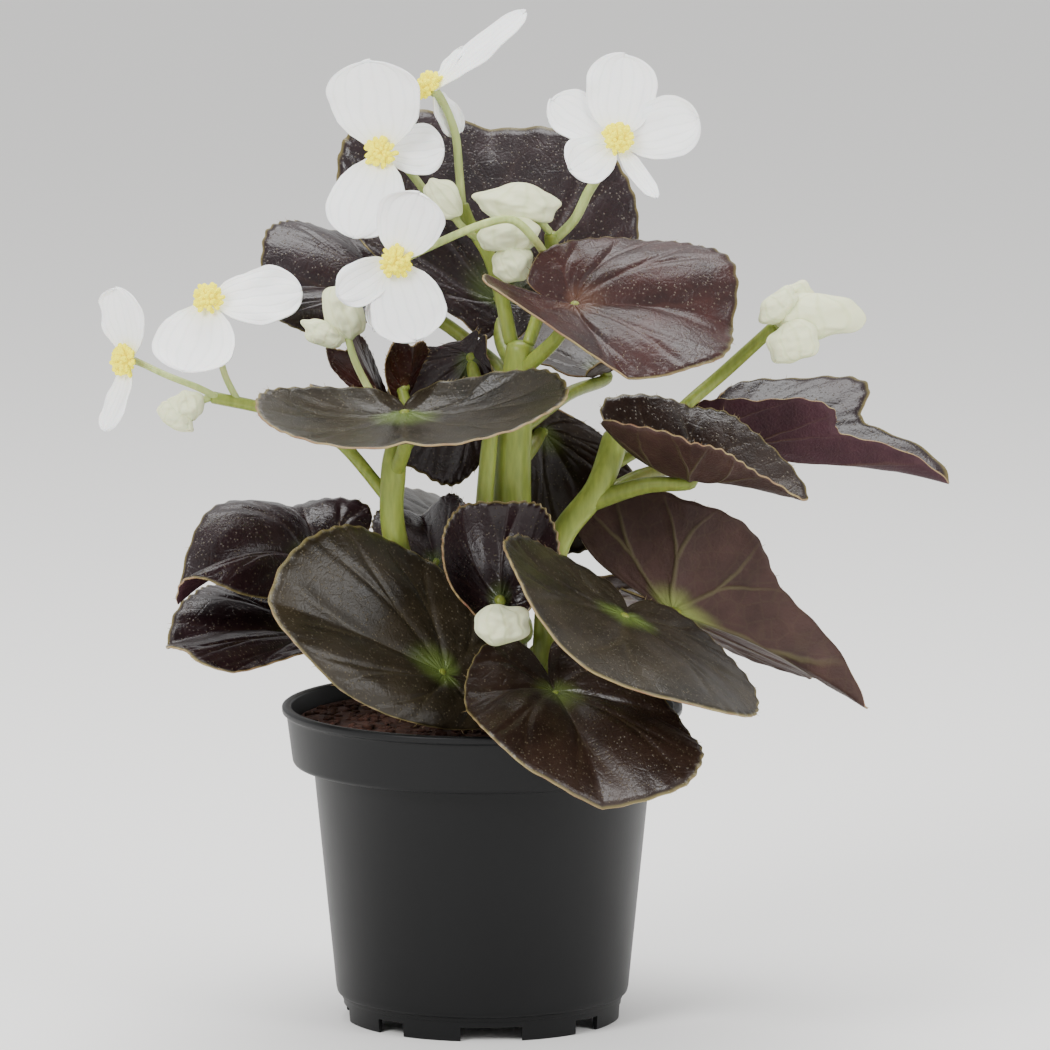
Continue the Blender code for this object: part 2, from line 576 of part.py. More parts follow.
def make_soil():
    """The potting mix: fills the pot to just under its rim, slightly mounded, with a socket around each stem."""
    band_foot = POT_HEIGHT - BAND_HEIGHT
    wall = POT_WALL + GAP + 0.1
    floor = FLOOR_HEIGHT + POT_WALL + GAP
    profile = (
        (0, floor), (BODY_FOOT_RADIUS - wall - 0.6, floor),
        (BODY_TOP_RADIUS - wall - 0.5, band_foot + POT_WALL),
        (BODY_TOP_RADIUS - wall, band_foot + 3), (BAND_FOOT_RADIUS - wall, band_foot + 4.5),
        (BAND_FOOT_RADIUS - wall + 0.5, SOIL_LEVEL - 1.5), (BAND_FOOT_RADIUS - 5, SOIL_LEVEL),
        (34, SOIL_LEVEL - 0.4),
        (22, SOIL_LEVEL + SOIL_MOUND * 0.6), (0, SOIL_LEVEL + SOIL_MOUND))
    soil = turned("potting_soil", profile, "peat")
    for stem, points in STEMS.items():
        x, y, foot, radius = points[0]
        socket = bmesh.new()
        above = smooth_route(points)[1]
        slope = (Vector(above[:3]) - Vector(points[0][:3])) / (above[2] - foot)
        top = Vector((x, y, foot)) + slope * (SOIL_LEVEL + 8 - foot)
        start = Vector((x, y, foot)) - slope * GAP
        add_tube(socket, [(*start, radius + GAP), (*top, radius + GAP)], 10)
        boolean(soil, add_object(f"{stem}_socket_guide", socket, "peat"), "DIFFERENCE")


for leftover in list(bpy.data.objects):
    bpy.data.objects.remove(leftover)

ROUTES = dict(STEMS)
for stalk_name, stalk in PEDUNCLES.items():
    first = stalk["route"][0]
    foot_point = [(*seat(*stalk["carrier"], first[:3], first[3]), first[3])] if "carrier" in stalk else []
    ROUTES[stalk_name] = (*foot_point, *stalk["route"])

make_pot()
make_soil()
for route_name, route_points in ROUTES.items():
    make_stem(route_name, route_points)
for leaf_name, leaf_values in LEAVES.items():
    make_leaf(leaf_name, leaf_values)
for flower_name, flower_values in FLOWERS.items():
    make_flower(flower_name, flower_values)
for cluster_name, cluster_values in BUDS.items():
    make_buds(cluster_name, cluster_values)
for piece in bpy.data.objects:
    piece.location = Vector(POT_AXIS) * MM
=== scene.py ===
import json
import math
import random
import bpy
from mathutils import Matrix, Vector, noise

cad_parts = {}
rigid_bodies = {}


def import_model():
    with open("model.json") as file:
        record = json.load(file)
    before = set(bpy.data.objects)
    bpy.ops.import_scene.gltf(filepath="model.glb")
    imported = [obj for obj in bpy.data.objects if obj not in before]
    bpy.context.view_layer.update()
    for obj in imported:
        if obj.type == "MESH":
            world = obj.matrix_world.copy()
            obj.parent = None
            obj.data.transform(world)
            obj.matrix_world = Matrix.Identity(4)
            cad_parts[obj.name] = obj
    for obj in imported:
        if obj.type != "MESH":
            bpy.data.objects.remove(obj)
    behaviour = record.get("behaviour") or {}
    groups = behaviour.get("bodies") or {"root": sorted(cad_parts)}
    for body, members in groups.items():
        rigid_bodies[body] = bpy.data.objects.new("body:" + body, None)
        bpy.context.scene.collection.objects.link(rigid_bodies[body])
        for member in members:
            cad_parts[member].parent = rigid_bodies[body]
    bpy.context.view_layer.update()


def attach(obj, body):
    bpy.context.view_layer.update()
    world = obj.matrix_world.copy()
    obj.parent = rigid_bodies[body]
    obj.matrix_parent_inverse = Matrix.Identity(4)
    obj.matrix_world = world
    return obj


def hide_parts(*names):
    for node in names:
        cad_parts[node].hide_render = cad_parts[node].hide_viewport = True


# potted begonia: smooth leaves, petals, buds, stems and pot around the measured parts
# the tables are in millimetres, x to the right, y away from the viewer, z up
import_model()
print("frame loaded")

mm = 0.001
mergeDistance = 0.01 * mm
potAxis = (-11.45, -2.95, 0.0)  # where the pot's axis stands; the tables count from it


def hexColour(code):
    parts = [int(code[place:place + 2], 16) / 255 for place in (1, 3, 5)]
    return tuple(part / 12.92 if part <= 0.04045 else ((part + 0.055) / 1.055) ** 2.4
                 for part in parts) + (1.0,)


def addNode(tree, kind, settings=None, links=None):
    node = tree.nodes.new(kind)
    for key, value in (settings or {}).items():
        if isinstance(key, str) and hasattr(node, key):
            setattr(node, key, value)
        else:
            node.inputs[key].default_value = value
    for key, source in (links or {}).items():
        tree.links.new(source, node.inputs[key])
    return node


def newMaterial(name):
    made = bpy.data.materials.new(name)
    made.use_nodes = True
    tree = made.node_tree
    return made, tree, tree.nodes["Principled BSDF"]


def deselectAll():
    for thing in bpy.context.view_layer.objects:
        thing.select_set(False)


def blendPoints(p0, p1, p2, p3, t):
    return [0.5 * (2 * b + (c - a) * t + (2 * a - 5 * b + 4 * c - d) * t * t + (3 * b - a - 3 * c + d) * t ** 3)
            for a, b, c, d in zip(p0, p1, p2, p3)]


def smoothRoute(points, steps=6):  # a soft curve through the points, with whatever each one carries
    ends = [points[0], *points, points[-1]]
    route = []
    for four in zip(ends, ends[1:], ends[2:], ends[3:]):
        route += [blendPoints(*four, step / steps) for step in range(steps)]
    return route + [list(points[-1])]


def smoothStep(low, high, value):
    share = min(max((value - low) / (high - low), 0), 1)
    return share * share * (3 - 2 * share)


def gridPiece(name, across, along, place):
    # a flat grid is added and each point moves to place(u, v); the grid's own UV map keeps u and v
    deselectAll()
    bpy.ops.mesh.primitive_grid_add(x_subdivisions=across, y_subdivisions=along, size=1, calc_uvs=True)
    piece = bpy.context.object
    piece.name = name
    for vertex in piece.data.vertices:
        vertex.co = Vector(place(vertex.co.x + 0.5, vertex.co.y + 0.5)) * mm
    bpy.ops.object.mode_set(mode="EDIT")
    bpy.ops.mesh.select_all(action="SELECT")
    bpy.ops.mesh.remove_doubles(threshold=mergeDistance)
    bpy.ops.mesh.normals_make_consistent(inside=False)
    bpy.ops.object.mode_set(mode="OBJECT")
    bpy.ops.object.shade_smooth()
    return piece


# a round tube along points x, y, z, radius, with rounded ends
def tubePiece(name, route, sides=20, bumps=0.0):
    points = smoothRoute(route, 6)
    centres = [Vector(point[:3]) for point in points]
    frames = []
    side = (centres[1] - centres[0]).orthogonal()
    for number, centre in enumerate(centres):
        heading = (centres[min(number + 1, len(centres) - 1)] - centres[max(number - 1, 0)]).normalized()
        side = (side - heading * side.dot(heading)).normalized()
        frames.append((centre, heading, side, heading.cross(side), points[number][3]))
    caps = 3
    rows = len(frames) + 2 * caps

    def place(u, v):
        row = round(v * (rows - 1))
        number = min(max(row - caps, 0), len(frames) - 1)
        centre, heading, across, up, radius = frames[number]
        shrink, shift = 1.0, 0.0
        if row < caps:
            turn = math.pi / 2 * (caps - row) / caps
            shrink, shift = math.cos(turn), -math.sin(turn) * 0.5
        elif row >= caps + len(frames):
            turn = math.pi / 2 * (row - caps - len(frames) + 1) / caps
            shrink, shift = math.cos(turn), math.sin(turn) * 0.5
        angle = math.tau * u
        outward = across * math.cos(angle) + up * math.sin(angle)
        sample = centre * 0.09 + across * math.cos(angle) * 0.6 + up * math.sin(angle) * 0.6
        ripple = 1 + bumps * noise.noise(sample)
        return centre + outward * radius * shrink * ripple + heading * radius * shift

    return gridPiece(name, sides, rows - 1, place)


def joinPieces(name, pieces):
    deselectAll()
    for piece in pieces:
        piece.select_set(True)
    bpy.context.view_layer.objects.active = pieces[0]
    if len(pieces) > 1:
        bpy.ops.object.join()
    joined = bpy.context.object
    joined.name = name
    return joined


def finishPiece(piece, materials, node):
    piece.data.transform(Matrix.Translation(Vector(potAxis) * mm))
    if materials:
        piece.data.materials.clear()
        for material in materials:
            piece.data.materials.append(material)
    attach(piece, "root")
    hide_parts(node)
    return piece


def applyAll(piece):
    deselectAll()
    piece.select_set(True)
    bpy.context.view_layer.objects.active = piece
    for modifier in list(piece.modifiers):
        bpy.ops.object.modifier_apply(modifier=modifier.name)


leaves = {
    "leaf_back_top": dict(
        skin="purple", base=(4, 19, 187), tip=(2, 46, 229), left=(-38, 27, 214), right=(41, 25, 202),
        arch=3, belly=(2, 3), rear=(0, 0), lobes=(0.5, 0.4),
        stem="main_stem", height=170, through=((5, 12, 177),)),
    "leaf_left_back": dict(
        skin="purple", base=(-27, 16, 188), tip=(-58, 10, 190), left=(-44, 2, 180), right=(-42, 34, 204),
        arch=3, belly=(3, 4), rear=(2, 0), lobes=(1, 1),
        stem="main_stem", height=166, through=((2, 15, 172), (-14, 21, 183))),
    "leaf_right_top": dict(
        skin="red", base=(24, -14, 190), tip=(65, -13, 184), left=(42, 10, 203), right=(38, -38, 174),
        arch=3, belly=(4, 2), rear=(2, 10), lobes=(0.8, 1.5),
        stem="main_stem", height=170, through=((19, -9, 180),)),
    "leaf_front_middle": dict(
        skin="olive", base=(-20, -22, 163), tip=(-19, -74, 162), left=(22, -34, 172), right=(-58, -30, 167),
        arch=-2, belly=(-2, -2), rear=(7, 6), lobes=(0.5, 0.5),
        stem="left_stem", height=145, through=((-20, -18, 153),)),
    "leaf_young_left": dict(
        skin="red", base=(-27, 3, 164), tip=(-35, -5, 177), left=(-39, -2, 172), right=(-30, 8, 176),
        arch=1, belly=(-1, -1), rear=(0, 0), lobes=(1, 1),
        stem="left_stem", height=150, through=((-26, -3, 158),), foot=1.5),
    "leaf_young_right": dict(
        skin="red", base=(-20, 2, 166), tip=(-18, -5, 178), left=(-25, -6, 175), right=(-15, 5, 173),
        arch=1, belly=(-1, -1), rear=(0, 0), lobes=(1, 1),
        stem="left_stem", height=150, through=((-18, -5, 155),), foot=1.5),
    "leaf_dark_centre": dict(
        skin="purple", base=(-3, 10, 173), tip=(-16, 13, 142), left=(4, 10, 154), right=(-23, 14, 168),
        arch=-1, belly=(1, 1), rear=(0, 0), lobes=(0.3, 0.3),
        stem="main_stem", height=157, through=((-1, 7, 166),)),
    "leaf_right_middle": dict(
        skin="brown", base=(54, -12, 145), tip=(85, -16, 140), left=(54, 4, 161), right=(54, -32, 156),
        arch=1, belly=(2, -2), rear=(6, 10), lobes=(1.7, 1.7), point=0.12,
        stem="right_stem", height=137, through=((42, -10, 142),), foot=2.6),
    "leaf_far_right": dict(
        skin="purple", base=(53, 18, 145), tip=(124, 8, 139), left=(84, 40, 163), right=(72, 6, 162),
        arch=3, belly=(2, 2), rear=(2, 2), lobes=(0.2, 0.2), point=0.28,
        stem="right_stem", height=136, through=((41, 8, 142),), foot=1.9),
    "leaf_low_right": dict(
        skin="brown", base=(50, 2, 107), tip=(101, -8, 83), left=(71, 20, 91), right=(54, 5, 136),
        arch=4, belly=(2, 3), rear=(0, 2), lobes=(0.7, 1.2), point=0.25,
        stem="right_stem", height=96, through=((32, 1, 105),), foot=2.4),
    "leaf_front_right": dict(
        skin="olive", base=(37, -37, 112), tip=(33, -78, 103), left=(71, -45, 90), right=(6, -50, 134),
        arch=2, belly=(2, -2), rear=(0, 0), lobes=(1, 1),
        stem="right_stem", height=92, through=((31, -24, 105),), foot=2.6),
    "leaf_cup": dict(
        skin="purple", base=(5, -25, 114), tip=(7, -18, 139), left=(-10, -33, 127), right=(20, -25, 126),
        arch=-3, belly=(-3, -3), rear=(4, 4), lobes=(0.6, 0.6),
        stem="main_stem", height=100, through=((4, -17, 108),)),
    "leaf_front_rim": dict(
        skin="brown", base=(19, -32, 91), tip=(31, -65, 66), left=(54, -47, 82), right=(-4, -48, 89),
        arch=5, belly=(3, 3), rear=(2, 1), lobes=(1.1, 0.9),
        stem="main_stem", height=84, through=((15, -22, 89),)),
    "leaf_front_left": dict(
        skin="olive", base=(-10, -30, 96), tip=(-55, -44, 117), left=(-24, -46, 87), right=(-22, -18, 128),
        arch=2, belly=(3, 2), rear=(0, 2), lobes=(0.9, 0.9), point=0.05,
        stem="left_stem", height=84, through=((-8, -20, 89),)),
    "leaf_left_dome": dict(
        skin="purple", base=(-44, 2, 119), tip=(-79, -22, 113), left=(-56, -22, 114), right=(-52, 22, 131),
        arch=7, belly=(6, 6), rear=(0, 0), lobes=(1, 1),
        stem="left_stem", height=93, through=((-30, 1, 109),), foot=1.6),
    "leaf_left_low": dict(
        skin="purple", base=(-46, -6, 102), tip=(-82, -24, 102), left=(-64, -36, 97), right=(-62, 10, 111),
        arch=3, belly=(2, 3), rear=(0, 0), lobes=(1, 1), point=0.1,
        stem="left_stem", height=86, through=((-28, -4, 96),), foot=1.8),
    "leaf_inner_left": dict(
        skin="purple", base=(-12, 4, 119), tip=(-16, 22, 129), left=(-28, 7, 125), right=(-3, 9, 130),
        arch=2, belly=(2, 2), rear=(0, 0), lobes=(1, 1),
        stem="left_stem", height=96, through=()),
    "leaf_behind_right": dict(
        skin="brown", base=(16, 20, 152), tip=(34, 26, 122), left=(38, 26, 143), right=(7, 24, 132),
        arch=-2, belly=(1, 1), rear=(0, 0), lobes=(0.6, 0.6),
        stem="main_stem", height=144, through=((13, 12, 149),)),
    "leaf_rear_low_left": dict(
        skin="olive", base=(-22, 30, 104), tip=(-42, 68, 97), left=(-47, 24, 106), right=(3, 48, 102),
        arch=4, belly=(3, 3), rear=(1, 1), lobes=(0.5, 0.5),
        stem="left_stem", height=88, through=((-15, 14, 98),)),
    "leaf_rear_low_right": dict(
        skin="brown", base=(28, 30, 104), tip=(44, 72, 94), left=(2, 44, 100), right=(56, 24, 106),
        arch=4, belly=(3, 3), rear=(2, 2), lobes=(1, 1),
        stem="main_stem", height=88, through=((18, 16, 98),)),
    "leaf_rear_middle": dict(
        skin="olive", base=(2, 40, 116), tip=(-2, 84, 120), left=(-26, 38, 127), right=(30, 42, 125),
        arch=3, belly=(2, 2), rear=(1, 1), lobes=(0.6, 0.4),
        stem="main_stem", height=108, through=((6, 22, 114),)),
    "leaf_rear_high": dict(
        skin="purple", base=(-10, 36, 150), tip=(-36, 68, 152), left=(-36, 30, 156), right=(10, 58, 158),
        arch=3, belly=(2, -2), rear=(3, 3), lobes=(0.8, 0.8),
        stem="main_stem", height=138, through=((0, 24, 146),)),
    "leaf_rear_right": dict(
        skin="brown", base=(32, 34, 166), tip=(54, 66, 172), left=(8, 54, 172), right=(56, 24, 176),
        arch=3, belly=(2, 2), rear=(3, 3), lobes=(0.8, 0.8),
        stem="main_stem", height=154, through=((22, 18, 162),)),
}

leafShape = {
    "outline": ((0, 1.0), (25, 0.87), (50, 0.73), (75, 0.66), (100, 0.625), (125, 0.59), (150, 0.53),
                (169, 0.37), (180, 0.14)),
    "halfWidth": 0.64, "thickness": 0.5, "rows": 18, "steps": 240, "veins": 8, "forkStart": 0.42,
             "forkSpread": 0.47,
    "pucker": 0.45, "wave": 0.9, "toothDepth": 0.22, "teeth": 76, "fold": 0.3, "neck": 1.35, "foot": 2.1,
}


def marginReach(angle):  # how far the margin lies from the base, for a blade 1 long
    points = leafShape["outline"]
    for number in range(len(points) - 1):
        if angle <= points[number + 1][0]:
            break
    before = points[max(number - 1, 0)] if number else (-25, 0.87)
    after = points[min(number + 2, len(points) - 1)]
    t = (angle - points[number][0]) / (points[number + 1][0] - points[number][0])
    low, high = points[number][1], points[number + 1][1]
    return blendPoints([before[1]], [low], [high], [after[1]], t)[0]


def veinDistance(u, v):  # 0 on a vein, about 0.5 halfway between two; each vein forks on its way out
    turn = abs(u * leafShape["veins"] - round(u * leafShape["veins"]))
    fork = max(v - leafShape["forkStart"], 0) * leafShape["forkSpread"]
    return abs(turn - fork)


def bladePlace(leaf, seed):
    base = Vector(leaf["base"])
    along = Vector(leaf["tip"]) - base
    sides = [Vector(leaf[side]) - base for side in ("left", "right")]
    up = (sides[1] - sides[0]).cross(along).normalized()
    half, trough = (sides[1] - sides[0]) / 2, (sides[1] + sides[0]) / 2
    soft = leafShape["fold"]
    size = along.length

    def place(u, v):
        angle = (u - 0.5) * 360
        side = int(angle > 0)
        bend = abs(angle)
        radians = math.radians(bend)
        margin = marginReach(bend) * (1 - leaf.get("point", 0) * math.exp(-((bend - 35) / 22) ** 2))
        tooth = math.sin(math.radians(angle) * leafShape["teeth"] / 2 + 3 * noise.noise((u * 9, seed, 0)))
        outer = smoothStep(0.86, 1, v)
        margin *= 1 + outer * leafShape["toothDepth"] * tooth / size * smoothStep(180, 165, bend)
        reach = v ** 0.9
        forward = margin * reach * math.cos(radians)
        outward = margin * reach * math.sin(radians) / leafShape["halfWidth"]
        behind = min(max((bend - 90) / 50, 0), 1) * min((180 - bend) / 20, 1)
        if forward < 0:
            forward *= 1 + (leaf["lobes"][side] - 1) * behind
        lift = leaf["arch"] * 4 * max(forward, 0) * (1 - forward)
        lift += leaf["belly"][side] * 4 * outward * (1 - outward)
        lift += leaf["rear"][side] * behind * reach ** 2
        local = Vector((u * 7, v * 2.5, seed * 3.1))
        scale = min(size / 40, 1.1) * smoothStep(180, 160, bend)
        ripple = noise.noise(local) + 0.5 * math.sin(math.radians(angle) * 5 + seed)
        lift += leafShape["wave"] * scale * v * v * ripple
        vein = veinDistance(u, reach) * reach
        depth = leafShape["pucker"] * scale * math.exp(-(vein / 0.05) ** 2)
        lift -= depth * smoothStep(0.02, 0.2, reach) * smoothStep(1.05, 0.7, reach)
        lift += 0.25 * scale * noise.noise(local * 5)
        lift += 0.35 * scale * outer * tooth * 0.5
        signed = outward if side else -outward
        folded = (math.sqrt(outward * outward + soft * soft) - soft) / (math.sqrt(1 + soft * soft) - soft)
        return base + along * forward + half * signed + trough * folded + up * lift

    return place, up


def onStem(stem, height):
    route = smoothRoute(routes[stem])
    for lower, upper in zip(route, route[1:]):
        if upper[2] >= height:
            break
    share = min((height - lower[2]) / (upper[2] - lower[2]), 1)
    return [a + (b - a) * share for a, b in zip(lower, upper)][:3]


marginHair = {"count": 46, "length": (0.9, 1.9), "thick": 0.09}


# short pale bristles on the margin, thickest beside the notch at the stalk
def makeHairs(node, place, up, seed):
    deselectAll()
    bpy.ops.mesh.primitive_cone_add(vertices=4, radius1=marginHair["thick"] * mm, radius2=0, depth=mm,
                                    location=(0, 0, mm / 2))
    model = bpy.context.object
    bpy.ops.object.transform_apply(location=True, rotation=True, scale=True)
    chance = random.Random(seed)
    hairs = []
    for number in range(marginHair["count"]):
        share = chance.random() ** 1.7 * 0.5
        u = share if number % 2 else 1 - share
        if 0.012 > min(u, 1 - u):
            continue
        root, inner = place(u, 0.99), place(u, 0.9)
        around = Vector([chance.uniform(-0.5, 0.5) for axis in range(3)])
        heading = ((root - inner).normalized() + around + up * 0.35).normalized()
        mesh = model.data.copy()
        turn = heading.to_track_quat("Z", "Y")
        length = chance.uniform(*marginHair["length"])
        for vertex in mesh.vertices:
            vertex.co = root * mm + turn @ Vector((vertex.co.x, vertex.co.y, vertex.co.z * length))
        hair = bpy.data.objects.new(f"{node}_hair{number}", mesh)
        bpy.context.scene.collection.objects.link(hair)
        hairs.append(hair)
    bpy.data.objects.remove(model)
    grown = joinPieces(node + "_hairs", hairs)
    grown.data.materials.append(margin)
    return grown


def makeLeaf(node, leaf, number):
    place, up = bladePlace(leaf, number * 1.7)
    small = Vector(leaf["tip"]) - Vector(leaf["base"])
    steps = leafShape["steps"] if small.length > 25 else 120
    blade = gridPiece(node + "_blade", steps, leafShape["rows"], place)
    facing = sum((face.normal * face.area for face in blade.data.polygons), Vector())
    if facing.dot(up) < 0:
        bpy.ops.object.mode_set(mode="EDIT")
        bpy.ops.mesh.select_all(action="SELECT")
        bpy.ops.mesh.flip_normals()
        bpy.ops.object.mode_set(mode="OBJECT")
    for material in skins[leaf["skin"]]:
        blade.data.materials.append(material)
    wall = blade.modifiers.new("blade thickness", "SOLIDIFY")
    wall.thickness = leafShape["thickness"] * mm
    wall.offset = 0
    wall.material_offset = 1
    wall.material_offset_rim = 2
    applyAll(blade)
    neck = leafShape["neck"]
    foot = leaf.get("foot", leafShape["foot"])
    base = Vector(leaf["base"])
    points = [onStem(leaf["stem"], leaf["height"]), *leaf["through"], base - up * 2.2, base + up * 0.1]
    spread = (foot - neck) / (len(points) - 1)
    route = [(*point, foot - spread * step) for step, point in enumerate(points)]
    stalk = tubePiece(node + "_stalk", route, 16, 0.06)
    stalk.data.materials.append(stalkSkin)
    hairs = makeHairs(node, place, up, number)
    return finishPiece(joinPieces(node + "_leaf", [blade, stalk, hairs]), None, node)


def leafPattern(tree):
    # masks for veins and speckles on the blade's own map: u runs round the margin, v from stalk to margin
    uv = addNode(tree, "ShaderNodeUVMap", {"uv_map": "UVMap"})
    place = addNode(tree, "ShaderNodeTexCoord")
    parts = addNode(tree, "ShaderNodeSeparateXYZ", None, {0: uv.outputs["UV"]})
    wobble = addNode(tree, "ShaderNodeTexNoise", {"Scale": 90.0, "Detail": 2.0},
                     {"Vector": place.outputs["Object"]})
    sway = addNode(tree, "ShaderNodeMapRange", {"To Min": -0.09, "To Max": 0.09},
                   {"Value": wobble.outputs["Fac"]})
    turn = addNode(tree, "ShaderNodeMath", {"operation": "MULTIPLY", 1: float(leafShape["veins"])},
                   {0: parts.outputs[0]})
    turn = addNode(tree, "ShaderNodeMath", {"operation": "ADD"}, {0: turn.outputs[0], 1: sway.outputs[0]})
    turn = addNode(tree, "ShaderNodeMath", {"operation": "PINGPONG", 1: 0.5}, {0: turn.outputs[0]})
    fork = addNode(tree, "ShaderNodeMapRange", {"From Min": leafShape["forkStart"],
        "To Max": leafShape["forkSpread"] * (1 - leafShape["forkStart"])},
                   {"Value": parts.outputs[1]})
    apart = addNode(tree, "ShaderNodeMath", {"operation": "SUBTRACT"},
                    {0: turn.outputs[0], 1: fork.outputs[0]})
    apart = addNode(tree, "ShaderNodeMath", {"operation": "ABSOLUTE"}, {0: apart.outputs[0]})
    width = addNode(tree, "ShaderNodeMath", {"operation": "MULTIPLY"},
                    {0: apart.outputs[0], 1: parts.outputs[1]})
    vein = addNode(tree, "ShaderNodeMapRange", {"interpolation_type": "SMOOTHSTEP", "From Min": 0.028,
        "From Max": 0.004}, {"Value": width.outputs[0]})
    fade = addNode(tree, "ShaderNodeMapRange", {"From Min": 1.0, "From Max": 0.55, "To Min": 0.1},
                   {"Value": parts.outputs[1]})
    vein = addNode(tree, "ShaderNodeMath", {"operation": "MULTIPLY"},
                   {0: vein.outputs[0], 1: fade.outputs[0]})
    heart = addNode(tree, "ShaderNodeMapRange", {"interpolation_type": "SMOOTHSTEP", "From Min": 0.24,
        "From Max": 0.02}, {"Value": parts.outputs[1]})
    edge = addNode(tree, "ShaderNodeMapRange", {"interpolation_type": "SMOOTHSTEP", "From Min": 0.975,
        "From Max": 1.0}, {"Value": parts.outputs[1]})
    mottle = addNode(tree, "ShaderNodeTexNoise", {"Scale": 75.0, "Detail": 5.0, "Roughness": 0.6},
                     {"Vector": place.outputs["Object"]})
    cells = addNode(tree, "ShaderNodeTexVoronoi", {"feature": "DISTANCE_TO_EDGE", "Scale": 230.0},
                    {"Vector": place.outputs["Object"]})
    net = addNode(tree, "ShaderNodeMapRange", {"From Min": 0.09, "From Max": 0.0},
                  {"Value": cells.outputs["Distance"]})
    dots = addNode(tree, "ShaderNodeTexVoronoi", {"Scale": 900.0}, {"Vector": place.outputs["Object"]})
    dots = addNode(tree, "ShaderNodeMapRange", {"From Min": 0.26, "From Max": 0.1},
                   {"Value": dots.outputs["Distance"]})
    grain = addNode(tree, "ShaderNodeTexNoise", {"Scale": 1500.0, "Detail": 2.0},
                    {"Vector": place.outputs["Object"]})
    return {"veins": vein.outputs[0], "heart": heart.outputs[0], "edge": edge.outputs[0],
            "mottle": mottle.outputs["Fac"], "net": net.outputs[0], "dots": dots.outputs[0],
            "grain": grain.outputs["Fac"]}


# share of the second over the first; either is a colour or a socket
def mixColours(tree, share, first, second):
    node = addNode(tree, "ShaderNodeMix", {"data_type": "RGBA"})
    tree.links.new(share, node.inputs["Factor"])
    for socket, value in ((6, first), (7, second)):
        if isinstance(value, tuple):
            node.inputs[socket].default_value = value
        else:
            tree.links.new(value, node.inputs[socket])
    return node.outputs[2]


def scaled(tree, socket, low, high):
    return addNode(tree, "ShaderNodeMapRange", {"To Min": low, "To Max": high},
                   {"Value": socket}).outputs[0]


# living begonia leaf, upper side: waxy cuticle over bronze-green tissue, glossy with sunk veins,
# a 4 mm net of small veins and pale speckles about 1 mm apart, and green where the stalk joins
def upperSkin(name, deep, pale, vein, heart, roughness):
    material, tree, shader = newMaterial(name)
    mask = leafPattern(tree)
    colour = mixColours(tree, scaled(tree, mask["mottle"], -0.5, 1.4), hexColour(deep), hexColour(pale))
    colour = mixColours(tree, scaled(tree, mask["net"], 0, 0.07), colour, hexColour(vein))
    colour = mixColours(tree, scaled(tree, mask["veins"], 0, 0.28), colour, hexColour(vein))
    colour = mixColours(tree, scaled(tree, mask["dots"], 0, 0.26), colour, hexColour("#857a60"))
    colour = mixColours(tree, scaled(tree, mask["heart"], 0, 0.8), colour, hexColour(heart))
    colour = mixColours(tree, scaled(tree, mask["edge"], 0, 0.7), colour, hexColour("#7f7448"))
    rough = scaled(tree, mask["mottle"], roughness - 0.1, roughness + 0.16)
    tree.links.new(colour, shader.inputs["Base Color"])
    tree.links.new(rough, shader.inputs["Roughness"])
    shader.inputs["IOR"].default_value = 1.45
    shader.inputs["Specular IOR Level"].default_value = 0.36
    shader.inputs["Coat Weight"].default_value = 0.1
    shader.inputs["Coat Roughness"].default_value = 0.3
    dimples = addNode(tree, "ShaderNodeMath", {"operation": "ADD"},
                      {0: mask["grain"], 1: mask["dots"]}).outputs[0]
    height = addNode(tree, "ShaderNodeMath", {"operation": "MULTIPLY_ADD", 1: -0.35},
                     {0: mask["net"], 2: dimples})
    bump = addNode(tree, "ShaderNodeBump", {"Strength": 0.4, "Distance": 0.0003},
                   {"Height": height.outputs[0]})
    tree.links.new(bump.outputs[0], shader.inputs["Normal"])
    return material


# living begonia leaf, underside: matt, wine-brown, with raised yellow-green veins fanning from the stalk
def underSkin(name, deep, pale, vein):
    material, tree, shader = newMaterial(name)
    mask = leafPattern(tree)
    colour = mixColours(tree, scaled(tree, mask["mottle"], -0.4, 1.4), hexColour(deep), hexColour(pale))
    colour = mixColours(tree, scaled(tree, mask["net"], 0, 0.06), colour, hexColour(vein))
    colour = mixColours(tree, scaled(tree, mask["veins"], 0, 0.42), colour, hexColour(vein))
    colour = mixColours(tree, scaled(tree, mask["heart"], 0, 0.8), colour, hexColour("#7f8a48"))
    tree.links.new(colour, shader.inputs["Base Color"])
    shader.inputs["Roughness"].default_value = 0.55
    shader.inputs["IOR"].default_value = 1.42
    shader.inputs["Specular IOR Level"].default_value = 0.3
    height = addNode(tree, "ShaderNodeMath", {"operation": "MULTIPLY_ADD", 1: 1.4},
                     {0: mask["veins"], 2: mask["grain"]})
    bump = addNode(tree, "ShaderNodeBump", {"Strength": 0.5, "Distance": 0.0004},
                   {"Height": height.outputs[0]})
    tree.links.new(bump.outputs[0], shader.inputs["Normal"])
    return material


# leaf margin: thin, translucent and pale where the blade ends, tinted pink in places
def marginSkin():
    material, tree, shader = newMaterial("leafMargin")
    place = addNode(tree, "ShaderNodeTexCoord")
    mottle = addNode(tree, "ShaderNodeTexNoise", {"Scale": 160.0, "Detail": 3.0},
                     {"Vector": place.outputs["Object"]})
    colour = mixColours(tree, scaled(tree, mottle.outputs["Fac"], -0.4, 1.4), hexColour("#938a58"),
                        hexColour("#7a4f3e"))
    tree.links.new(colour, shader.inputs["Base Color"])
    shader.inputs["Roughness"].default_value = 0.5
    return material


